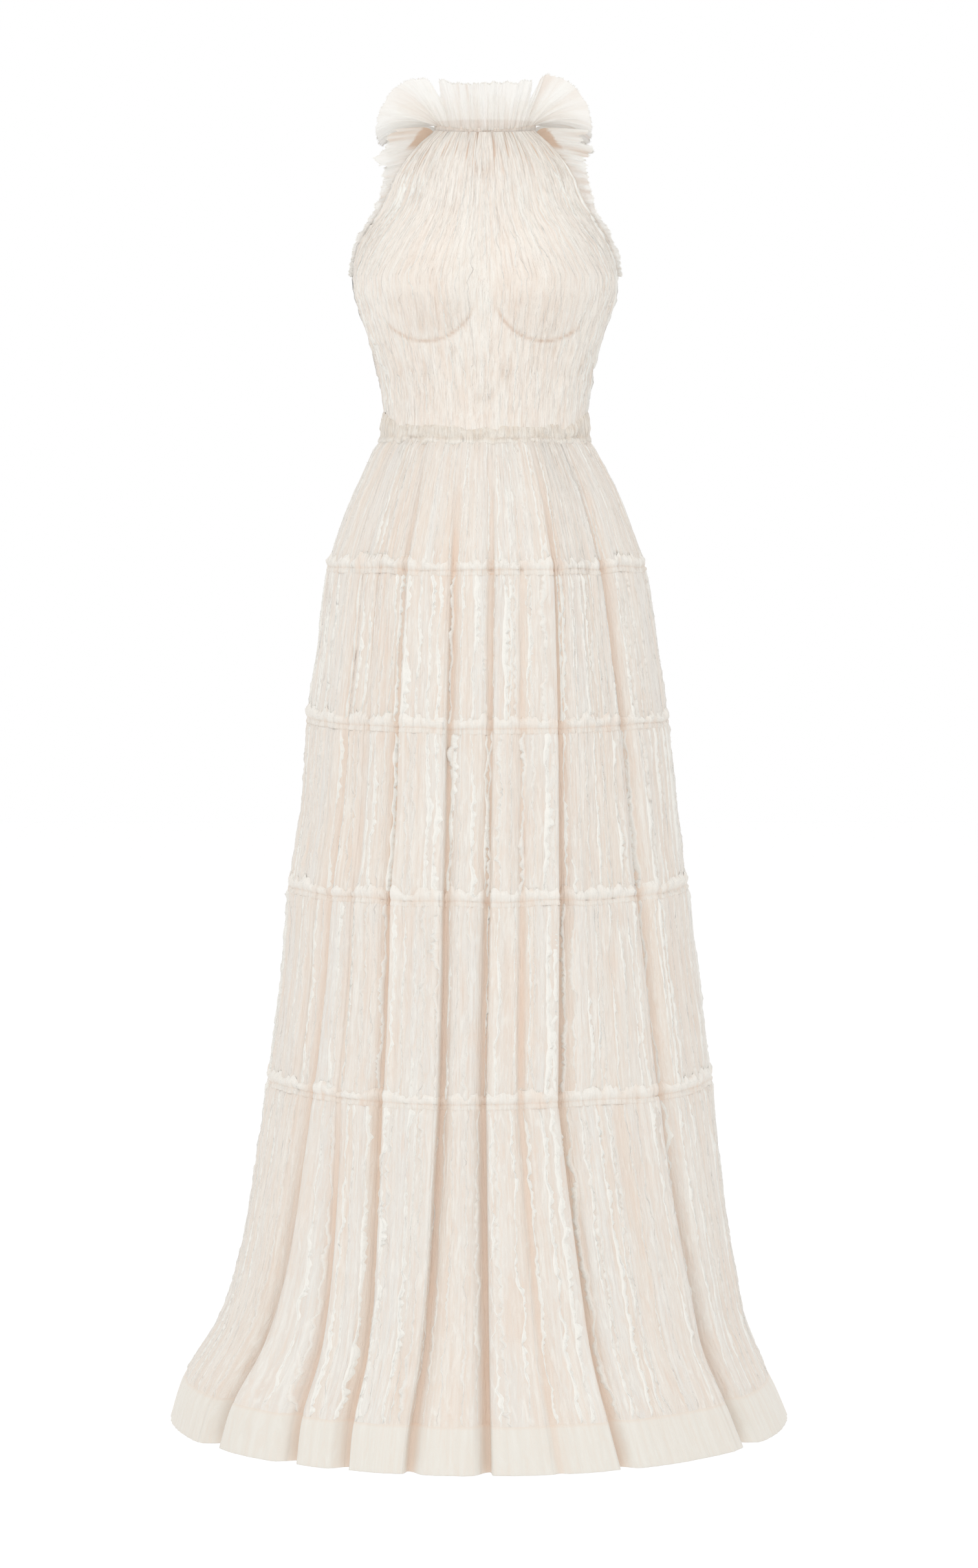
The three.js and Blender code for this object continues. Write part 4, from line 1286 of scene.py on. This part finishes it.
def bodice_sheet(name, shares, side, seed):
    """One bodice piece. side 0 is the front, 1 the left back and -1 the right back."""
    level = BODICE_LEVELS[:, None]
    reach = smooth_read(ARMHOLE, "angle", np.maximum(level, UNDERARM))
    angle = shares[None, :] * reach if side == 0 else side * (180 - reach * (1 - shares[None, :]))
    z = bodice_heights(level, angle)
    across = shares[None, :] * (FRONT_CUT if side == 0 else BACK_CUT) + 2000 + seed
    relief = bodice_relief(across, z, seed)
    points, crease = torso_point(angle, z, relief)
    if side:
        points[:, -1, 0] = side * ZIP_HALF
    uv = np.stack(np.broadcast_arrays(across, z), axis=-1)
    # Painted shade: the hollows of the relief, the wire's groove in dashes and narrow creases below
    # the neck go to tan. The lining term is the real nude tone of the lining at the cups.
    bodice_hollow_shade = np.clip(-relief - 0.2, 0, 2) * (0.17 + 0.1 * np.clip(1 + z / 90, 0, 1))
    dashes = 0.65 + 0.35 * unevenness(seed + 9, across, -z, 4, 3.5)
    slit_shade = ease(0.4, 0.7, unevenness(seed + 10, across, -z, 3.2, 30)) * ease(-66, -36, z)
    lining_and_inner_shade = 0.14 * (cup_lift(points[..., 0], z) / CUP["lift"]) * (side == 0)
    sink = np.clip(crease * dashes + bodice_hollow_shade + slit_shade + lining_and_inner_shade, 0, 1)
    streak = 0.6 * unevenness(seed + 8, across, -z, 22, 120)
    tint = np.clip(0.45 + streak + 0.25 * ease(180, 260, -z), 0, 1)
    order = slice(None, None, -1) if side == -1 else slice(None)
    piece = sheet_piece(
        name, points[:, order], uv[:, order], sink[:, order], 0.0, tint[:, order], bodice_gauze
    )
    return piece, points


front_shares = np.linspace(-1, 1, FRONT_COLUMNS)
back_shares = np.linspace(0, 1, BACK_COLUMNS)
bodice_front, front_points = bodice_sheet("bodice_front_cloth", front_shares, 0, 400)
bodice_left, left_points = bodice_sheet("bodice_back_left_cloth", back_shares, 1, 420)
bodice_right, right_points = bodice_sheet("bodice_back_right_cloth", back_shares, -1, 440)
print("bodice at the bust:", round(2 * float(front_points[..., 0].max())), "mm wide")

# %% [markdown]
# The bodice has frayed tucks too: low ones over the middle, and stronger ones at the sides, where
# they stand out of the outline. A tuck follows a column of the bodice, and its ridge stands along
# the normal of the cloth there, so it follows the cups.


# %% Frayed tucks of the bodice
BODICE_TUCK_SPACING = (4, 11)
BODICE_THREADS = {"count": 800, "length": 2.6}
BODICE_TUCK = 0.72
LEVEL_WITH_CLOTH = 0.3


def between_columns(grid, rows, whole, part):
    return grid[rows, whole] * (1 - part) + grid[rows, whole + 1] * part


def bodice_tucks(name, points, places, strengths, seed):
    rng = np.random.default_rng(seed)
    z = points[:, points.shape[1] // 2, 2]
    ahead = np.gradient(points, axis=1)
    normal = np.cross(np.gradient(points, axis=0), ahead)
    normal /= np.maximum(np.linalg.norm(normal, axis=2), 1e-6)[..., None]
    if np.sum(normal[..., :2] * points[..., :2]) < 0:
        normal = -normal
    last = points.shape[1] - 2
    rows = np.arange(len(z))
    fading = 0.1 + 0.9 * ease(10, 90, -z) * ease(2, 26, z - WAIST_TOP)
    ribbons = []
    for place, strength in zip(places, strengths):
        column = np.clip(place + tuck_sway(seed, 1, place, -z, 2.4, 17), 0, last)
        whole = np.floor(column).astype(int)
        foot = between_columns(points, rows, whole, (column - whole)[:, None])
        spacing = np.linalg.norm(ahead[rows, whole], axis=1)
        width, lift = tuck_size(place, -z, BODICE_TUCK * strength * fading, seed + 2)
        other = column + rng.choice([-1, 1]) * width / np.maximum(spacing, 0.3)
        other = np.clip(other, 0, last)
        near = np.floor(other).astype(int)
        beside = between_columns(points, rows, near, (other - near)[:, None])
        out = normal[rows, whole]
        sunk = LEVEL_WITH_CLOTH * out
        lines = tuck_ribbon(foot - sunk, beside - sunk, out, lift)
        ribbons.append((lines, np.stack([np.full(len(z), place * 2.0), z], axis=1)))
    threads_name = name.replace("_tucks", "_threads")
    threads = tuck_threads(threads_name, ribbons, seed=seed + 6, **BODICE_THREADS)
    return ribbons_piece(name, ribbons, raw_edge), threads


half = BACK_COLUMNS - 1
front_places = tuck_lines(450, *BODICE_TUCK_SPACING, FRONT_COLUMNS - 1)
front_strengths = 0.5 + 1.4 * np.abs(front_places / half - 1) ** 4
back_places = tuck_lines(451, *BODICE_TUCK_SPACING, half - 2)
back_strengths = 0.55 + 1.4 * (1 - back_places / half) ** 4
bodice_tuck_pieces = [
    bodice_tucks("bodice_front_tucks", front_points, front_places, front_strengths, 460),
    bodice_tucks("bodice_back_left_tucks", left_points, back_places, back_strengths, 470),
    bodice_tucks("bodice_back_right_tucks", right_points, back_places, back_strengths, 480),
]
print("tucks on the front:", len(front_places), "on each back:", len(back_places))

# %% [markdown]
# The waist seam is a soft puffed band whose lower edge is left free and frilled. It is a sheet
# with its own section: tucked in over the bodice, puffed, pulled in at the seam, and out again at
# the frill. It climbs and widens at both sides, sags in front, and is open at the middle of the
# back, where the zip runs.

# %% Section of the waist band
# The last column of the table is painted shade: a little at the band's top, most at its seam.
WAIST_PROFILE = [
    {"z": WAIST_TOP + 3, "out": -1.6, "free": 0, "sink": 0.1},
    {"z": WAIST_TOP, "out": 0.4, "free": 0, "sink": 0.1},
    {"z": WAIST_TOP - 4, "out": 1.7, "free": 0, "sink": 0.05},
    {"z": WAIST_TOP - 8, "out": 2.5, "free": 0, "sink": 0},
    {"z": WAIST_TOP - 12, "out": 2.5, "free": 0, "sink": 0},
    {"z": WAIST_TOP - 16, "out": 1.5, "free": 0, "sink": 0.1},
    {"z": WAIST_SEAM + 1.5, "out": 1.1, "free": 0.2, "sink": 0.3},
    {"z": WAIST_SEAM - 1.5, "out": 2.2, "free": 0.7, "sink": 0},
    {"z": WAIST_SEAM - 4.5, "out": 1.8, "free": 1, "sink": 0},
    {"z": WAIST_SEAM - 6.5, "out": 0.2, "free": 0.5, "sink": 0},
]
WAIST_COLUMNS = 561
WAIST_ROUND = 640
WAIST_RISE = 9
WAIST_SAG = 5
WAIST_WIDENS = 2.0
print("steps down the waist band:", len(WAIST_PROFILE))


# %% Waist band
def waist_row(angle, across, z, out, free):
    """One line of points round the waist. free is 0 on the band and 1 on its frilled edge."""
    at_sides = ease(48, 90, np.abs(angle)) * (1 - ease(100, 140, np.abs(angle)))
    wave = 1.5 * unevenness(500, across, 0.0, 7.5, 10)
    wave = free * (wave + 0.5 * unevenness(501, across, 0.0, 3.4, 10))
    puff = 1.5 * unevenness(502, across, -z + 0.3 * across, 15, 4.5)
    puff = (puff + 0.9 * unevenness(504, across, -z, 4, 9)) * (1 - free)
    sway = 1.8 * unevenness(506, across, 0.0, 30, 10) + 0.8 * unevenness(508, across, 0.0, 9, 10)
    sway = sway * (z < WAIST_TOP + 1)
    share = np.clip((z - WAIST_SEAM) / (WAIST_TOP - WAIST_SEAM), 0, 1)
    rise = share * (WAIST_RISE * at_sides - WAIST_SAG * (1 - at_sides))
    level = np.full(len(angle), max(z, WAIST_SEAM - 3))
    row = ring_point(angle, level, out + wave + puff + WAIST_WIDENS * at_sides)
    row[:, 2] = z + rise + sway + free * 2.0 * unevenness(503, across, 0.0, 6, 10)
    row[0, 0] = -ZIP_HALF
    row[-1, 0] = ZIP_HALF
    return row


def make_waist():
    angle = np.linspace(-180, 180, WAIST_COLUMNS)
    across = angle / 360 * WAIST_ROUND
    rows = [waist_row(angle, across, s["z"], s["out"], s["free"]) for s in WAIST_PROFILE]
    points = np.stack(rows)
    heights = column_of(WAIST_PROFILE, "z")[:, None]
    uv = np.stack(np.broadcast_arrays(across[None, :], heights), axis=-1)
    edge = 0.7 * column_of(WAIST_PROFILE, "free")[:, None]
    # Painted shade in the hollows between the puffs of the band.
    hollow_shade = 0.45 * np.clip(unevenness(507, across, heights + 0.3 * across, 8, 4.5), 0, 1)
    sink = column_of(WAIST_PROFILE, "sink")[:, None] + hollow_shade
    return sheet_piece("waist_band_cloth", points, uv, sink, edge, 0.3, waist_gauze), points[-1]


waist_piece, waist_line = make_waist()
waist_threads = frayed_edge(
    "waist_threads", waist_line, -UPWARDS, 510, per_point=5, length=3.6, closed=False
)
print("waist band:", round(ring_length(WAIST_SEAM)), "mm round")

# %% [markdown]
# The neckband is a narrow corded band, which holds the whole dress up. It is five lines of points
# round the neck, shirred a little, and it dips at the middle of the front.

# %% Neckband
NECKBAND_PROFILE = [
    {"up": 4, "out": 0.0, "sink": 0.1},
    {"up": 2.5, "out": 0.4, "sink": 0.5},
    {"up": 0, "out": 0.6, "sink": 0.3},
    {"up": -2.5, "out": 0.6, "sink": 0.1},
    {"up": -4.8, "out": 0.2, "sink": 0.1},
]
DIP = {"depth": 3.5, "half": 38}


def neck_dip(angle):
    """The neck seam hangs a little lower at the middle of the front."""
    return -DIP["depth"] * np.exp(-((angle / DIP["half"]) ** 2))


def make_neckband():
    angle = np.linspace(-178.8, 178.8, 481)
    rows = []
    for step in NECKBAND_PROFILE:
        shirr = 0.7 * unevenness(520, angle, step["up"], 1.9, 30)
        row = ring_point(angle, 0.0, step["out"] + shirr)
        row[:, 2] = neck_height(angle) + neck_dip(angle) + step["up"]
        rows.append(row)
    points = np.stack(rows)
    down = np.arange(float(len(rows)))[:, None] * 2
    uv = np.stack(np.broadcast_arrays(angle[None, :], down), axis=-1)
    # Painted shade along the band's seam lines, from the last column of its table.
    seam = column_of(NECKBAND_PROFILE, "sink")[:, None]
    return sheet_piece("neckband_cloth", points, uv, seam, 0.1, 0.3, bodice_gauze)


neckband_piece = make_neckband()
print("neckband:", round(ring_length(0.0)), "mm round")

# %% [markdown]
# Above the neckband stands the tall frill: its pleats are tight at the seam, open into soft
# scallops at the raw edge, and lean further and further out towards the sides, where the frill
# lies almost level and droops. Two notches part its upright middle from its wings. The table has
# its lean from upright and its width at angles from the middle of the front to the back.

# %% Section of the neck frill
NECK_FRILL = [
    {"angle": 0, "lean": 8, "width": 51},
    {"angle": 28, "lean": 14, "width": 51},
    {"angle": 36, "lean": 17, "width": 54},
    {"angle": 50, "lean": 27, "width": 60},
    {"angle": 60, "lean": 43, "width": 68},
    {"angle": 68, "lean": 60, "width": 71},
    {"angle": 76, "lean": 79, "width": 66},
    {"angle": 84, "lean": 93, "width": 59},
    {"angle": 92, "lean": 100, "width": 55},
    {"angle": 104, "lean": 93, "width": 55},
    {"angle": 120, "lean": 76, "width": 60},
    {"angle": 145, "lean": 62, "width": 58},
    {"angle": 180, "lean": 57, "width": 54},
]
NOTCH = {"angle": 45.5, "depth": 25, "half": 2.4}
DROOP = 12
FRILL_FOOT = 1.5
FRILL_COLUMNS = 961
FRILL_ROWS = 30
print("the neck frill is up to", max(row["width"] for row in NECK_FRILL), "mm wide")


# %% Neck frill
def frill_width(angle):
    """The frill's width at angles round the neck, with its two notches and its ragged edge."""
    around = np.abs(angle)
    width = smooth_read(NECK_FRILL, "width", around, "angle")
    width = width - NOTCH["depth"] * np.exp(-(((around - NOTCH["angle"]) / NOTCH["half"]) ** 2))
    width = width + 1.6 * unevenness(530, angle, 0.0, 4.0, 10)
    width = width + 0.9 * unevenness(531, angle, 0.0, 1.1, 10)
    return width + (NECKBAND_HEIGHT / 2 - FRILL_FOOT)


def make_neck_frill():
    angle = np.linspace(-178, 178, FRILL_COLUMNS)
    around = np.abs(angle)
    lean = np.radians(smooth_read(NECK_FRILL, "lean", around, "angle"))
    width = frill_width(angle)
    base = ring_point(angle, 0.0, 0.9)
    base[:, 2] = neck_height(angle) + neck_dip(angle) + FRILL_FOOT
    x = np.sin(np.radians(angle))
    y = -np.cos(np.radians(angle))
    sideways = ease(45, 62, around) * (1 - 0.4 * ease(120, 150, around))
    curl = DROOP * ease(56, 82, around) * (1 - ease(96, 122, around))
    rows = []
    pleat_shades = []
    reaches = np.linspace(0, 1, FRILL_ROWS)
    for reach in reaches:
        scallops = (3.0 + 4.5 * sideways) * unevenness(532, angle, reach * 2, 9, 10) * reach
        pleat = 2.8 * unevenness(533, angle, reach * 5, 3.6, 10) * (0.3 + 0.7 * reach)
        fine = 1.2 * unevenness(534, angle, reach * 8, 1.5, 10) * (1 - 0.5 * reach)
        bent = 2.0 * unevenness(535, angle, reach * 30, 12, 10) * reach
        relief = scallops + pleat + fine + bent
        offset = relief + 2.5 * reach**3
        tilt = lean * (0.96 + 0.06 * reach)
        outwards = width * reach * np.sin(tilt) + offset * np.cos(lean)
        row = base.copy()
        row[:, 0] += x * outwards
        row[:, 1] += y * outwards
        row[:, 2] += width * reach * np.cos(tilt) - offset * np.sin(lean) - curl * reach**3.5
        rows.append(row)
        # Painted shade in the hollows of the pleats, uneven along them; the frill is also darker
        # near its seam.
        shaded = 0.55 + 0.75 * unevenness(536, angle, reach * 12, 8, 10)
        pleat_shades.append(np.clip(-pleat - fine, 0, 2) * np.clip(shaded, 0.1, 1.3))
    points = np.stack(rows[::-1])
    reach = reaches[::-1][:, None]
    uv = np.stack(np.broadcast_arrays(angle[None, :] * 1.6, reach * 60), axis=-1)
    sink = np.clip(0.12 * (1 - reach) ** 3 + 0.17 * np.stack(pleat_shades[::-1]), 0, 1)
    piece = sheet_piece("neck_frill_cloth", points, uv, sink, 0.5 * reach, 0.1, frill_gauze)
    return piece, points


neck_frill_piece, neck_frill_points = make_neck_frill()
frill_up = neck_frill_points[0] - neck_frill_points[2]
frill_up /= np.linalg.norm(frill_up, axis=1)[:, None]
neck_threads = frayed_edge(
    "neck_frill_threads", neck_frill_points[0], frill_up, 540, per_point=2, length=3.2, closed=False
)
print("neck frill reaches up to", round(float(neck_frill_points[..., 2].max()), 1), "mm")

# %% [markdown]
# A ruffle runs round each armhole from the neck, under the arm and up to the neck again. Near the
# neck it is wide, with pleats that point straight out sideways. Lower down it is a narrow row of
# raw scallops. It starts on the edge points of the bodice, so the two can't part. The table has
# its width at shares of the way down from the neck.

# %% Line of an armhole frill
ARM_POINTS = 420
ARM_ENDS = (0.006, 0.994)
ARM_FRILL = [
    {"share": 0.0, "width": 58},
    {"share": 0.1, "width": 48},
    {"share": 0.2, "width": 31},
    {"share": 0.3, "width": 18},
    {"share": 0.4, "width": 11},
    {"share": 0.6, "width": 7},
    {"share": 1.0, "width": 5},
]


def armhole_line(side):
    """The armhole edge from the front of the neck, round the underarm, to the back."""
    front = front_points[:, -1 if side > 0 else 0]
    back = (left_points if side > 0 else right_points)[:, 0]
    level = BODICE_LEVELS >= UNDERARM
    line = np.concatenate([front[level], back[level][::-1]])
    steps_along = np.concatenate([[0], np.cumsum(np.linalg.norm(np.diff(line, axis=0), axis=1))])
    even = np.linspace(*ARM_ENDS, ARM_POINTS) * steps_along[-1]
    points = [np.interp(even, steps_along, line[:, n]) for n in range(3)]
    return np.stack(points, axis=1), steps_along[-1]


def smoothed(vectors):
    """Directions along a line, each averaged with its neighbours and made one long."""
    window = np.ones(25) / 25
    padded = np.pad(vectors, ((12, 12), (0, 0)), mode="edge")
    soft = np.stack([np.convolve(padded[:, n], window, "valid") for n in range(3)], axis=1)
    return soft / np.linalg.norm(soft, axis=1)[:, None]


def arm_directions(line, side, down):
    """Which way the frill's width runs at each point, and which way its pleats stand out."""
    tangent = smoothed(np.gradient(line, axis=0))
    back = np.clip(line[:, 1] / 120, -0.25, 0.25)
    upwards = -0.14 * ease(0, 0.22, down) * ease(0.5, 0.2, down)
    outwards = np.stack([np.full(len(line), float(side)), back, upwards], axis=1)
    outwards /= np.linalg.norm(outwards, axis=1)[:, None]
    normal = np.cross(tangent, outwards)
    return outwards, normal / np.linalg.norm(normal, axis=1)[:, None]


print("round one armhole:", round(float(armhole_line(1)[1])), "mm")

# %% Armhole frills
ARM_ROWS = 14


def make_arm_frill(side, name, seed):
    line, total = armhole_line(side)
    share = np.linspace(0, 1, len(line))
    down = 1 - np.abs(2 * share - 1)
    along = share * total
    uneven = 1 + 0.2 * unevenness(seed, along, 0.0, 11, 10)
    uneven = uneven + 0.12 * unevenness(seed + 1, along, 0.0, 3, 10)
    width = smooth_read(ARM_FRILL, "width", down, "share") * uneven
    outwards, normal = arm_directions(line, side, down)
    beside_neck = 1 - ease(0, 0.09, down)
    size = np.minimum(5.0, 1.5 + 0.1 * width)
    rows = []
    pleat_shades = []
    reaches = np.linspace(0, 1, ARM_ROWS)
    for reach in reaches:
        scallop = size * unevenness(seed + 2, along, reach * 2, 8, 10) * reach
        pleat = 2.0 * unevenness(seed + 3, along, reach * 6, 3.4, 10) * (0.3 + 0.7 * reach)
        sag = 4.0 * reach**2 * np.clip(width / 50, 0, 1)
        row = line + outwards * (width * reach)[:, None] + normal * (scallop + pleat)[:, None]
        row[:, 2] += 5 * beside_neck * (1 - np.exp(-width * reach / 4)) - sag
        rows.append(row)
        pleat_shades.append(np.clip(-scallop / 2 - pleat, 0, 2))
    points = np.stack(rows)
    reach = reaches[:, None]
    # Painted shade: darker near the seam and in the pleats' hollows, most on the wide upper part;
    # in front by the neck, the shaded cloth inside the gap is painted tan on the frill.
    at_neck = ease(-31, -19, line[:, 2]) * (line[:, 1] < 0)
    lining_and_inner_shade = 1.2 * at_neck[None, :] * (1 - ease(9, 13, reach * width[None, :]))
    fanned = 0.12 + 0.26 * ease(-110, -60, line[:, 2])[None, :] * (1 - 0.5 * reach)
    sink = np.clip(0.25 * (1 - reach) ** 3 + fanned * np.stack(pleat_shades) + lining_and_inner_shade, 0, 1)
    uv = np.stack(np.broadcast_arrays(along[None, :], reach * 50), axis=-1)
    order = slice(None, None, -1) if side > 0 else slice(None)
    piece = sheet_piece(
        name, points[:, order], uv[:, order], sink[:, order], 0.5 * reach, 0.1, frill_gauze
    )
    out = points[-1] - points[-3]
    out /= np.linalg.norm(out, axis=1)[:, None]
    threads = frayed_edge(
        name.replace("_cloth", "_threads"), points[-1], out, seed + 9,
        per_point=3, length=2.8, closed=False,
    )
    return piece, threads, float(width.mean()), total


arm_left, arm_left_threads, arm_width, arm_length = make_arm_frill(
    1, "armhole_frill_left_cloth", 560
)
arm_right, arm_right_threads, _, _ = make_arm_frill(-1, "armhole_frill_right_cloth", 580)
print("armhole frills are", round(arm_width, 1), "mm wide on average")

# %% [markdown]
# The zip keeps the shape of its solids: a strip of closed teeth between the two backs, and a
# lacquered slider and pull at the top. They are hard and plain, so a material is enough. The teeth
# are too fine to be worth a mesh, so a pattern of bands gives them their relief, and the same bands
# paint shade between the teeth and a lighter colour on them.


# %% Zip tape
TEETH_SCALE = 220
TEETH_DEPTH = 0.4


def zip_tape_material():
    material = bpy.data.materials.new("zip_tape")
    material.use_nodes = True
    nodes = material.node_tree.nodes
    links = material.node_tree.links
    place = nodes.new("ShaderNodeTexCoord")
    teeth = nodes.new("ShaderNodeTexWave")
    teeth.bands_direction = "Z"
    teeth.inputs["Scale"].default_value = TEETH_SCALE
    bump = nodes.new("ShaderNodeBump")
    bump.inputs["Distance"].default_value = TEETH_DEPTH * MM
    # Painted shade in the gaps between the teeth, and a lighter colour on them, from the same bands
    # as the bump.
    tint = nodes.new("ShaderNodeValToRGB")
    tint.color_ramp.elements[0].color = (0.62, 0.55, 0.46, 1)
    tint.color_ramp.elements[1].color = (0.86, 0.80, 0.71, 1)
    links.new(place.outputs["Object"], teeth.inputs["Vector"])
    links.new(teeth.outputs["Fac"], tint.inputs["Fac"])
    links.new(teeth.outputs["Fac"], bump.inputs["Height"])
    links.new(tint.outputs["Color"], nodes["Principled BSDF"].inputs["Base Color"])
    links.new(bump.outputs["Normal"], nodes["Principled BSDF"].inputs["Normal"])
    nodes["Principled BSDF"].inputs["Roughness"].default_value = 0.7
    return material


tape = zip_tape_material()
print("zip tape:", tape.name)


# %% Lacquered metal of the zip
def zip_metal_material():
    material = bpy.data.materials.new("zip_metal")
    material.use_nodes = True
    nodes = material.node_tree.nodes
    links = material.node_tree.links
    place = nodes.new("ShaderNodeTexCoord")
    wear = nodes.new("ShaderNodeTexNoise")
    wear.inputs["Scale"].default_value = 600
    tint = nodes.new("ShaderNodeValToRGB")
    tint.color_ramp.elements[0].position = 0.3
    tint.color_ramp.elements[0].color = (0.72, 0.68, 0.60, 1)
    tint.color_ramp.elements[1].color = (0.86, 0.82, 0.74, 1)
    links.new(place.outputs["Object"], wear.inputs["Vector"])
    links.new(wear.outputs["Fac"], tint.inputs["Fac"])
    links.new(tint.outputs["Color"], nodes["Principled BSDF"].inputs["Base Color"])
    nodes["Principled BSDF"].inputs["Roughness"].default_value = 0.35
    nodes["Principled BSDF"].inputs["Metallic"].default_value = 0.3
    return material


metal = zip_metal_material()
zip_finishes = {"back_zip": tape, "zip_slider": metal, "zip_pull": metal}
for name, finish in zip_finishes.items():
    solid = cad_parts[name]
    solid.data.materials.clear()
    solid.data.materials.append(finish)
print("zip nodes finished:", sorted(zip_finishes))

# %% [markdown]
# Last, the frame hides each solid that a piece of cloth stands for, and the sizes in metres that
# the skirt's sheets were cut to, before they were gathered and sewn, are worked out beside it.

# %% Cuts of the skirt
HEADING_CUT = 1.2
HEM_CUT = 1.1
HEM_MIDDLE = (HEM_BAND_TOP + HEM) / 2
for n, (piece, cut, _) in enumerate(tier_pieces):
    name = TIERS[n]["name"]
    backs = ["tier_1_back_left", "tier_1_back_right"] if n == 0 else [name + "_back"]
    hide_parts(name + "_front", *backs)
for n, (piece, line) in enumerate(heading_pieces):
    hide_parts(f"heading_{n + 1}")
    heading_flat = (HEADING_CUT * ring_length(SEAMS[n]) * MM, 22 * MM)
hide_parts("hem_band_front", "hem_band_back")
hem_flat = (HEM_CUT * ring_length(HEM_MIDDLE) * MM, 78 * MM)
print("hem band cut:", [round(value, 3) for value in hem_flat])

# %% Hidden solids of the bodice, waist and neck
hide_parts("bodice_front", "cup_wire_left", "cup_wire_right")
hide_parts("bodice_back_left")
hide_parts("bodice_back_right")
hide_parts("waist_band", "waist_frill")
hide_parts("neckband")
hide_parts("neck_frill")

# %% Hidden solids of the armhole frills
for piece, threads, node in (
    (arm_left, arm_left_threads, "armhole_frill_left"),
    (arm_right, arm_right_threads, "armhole_frill_right"),
):
    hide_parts(node)

# %% [markdown]
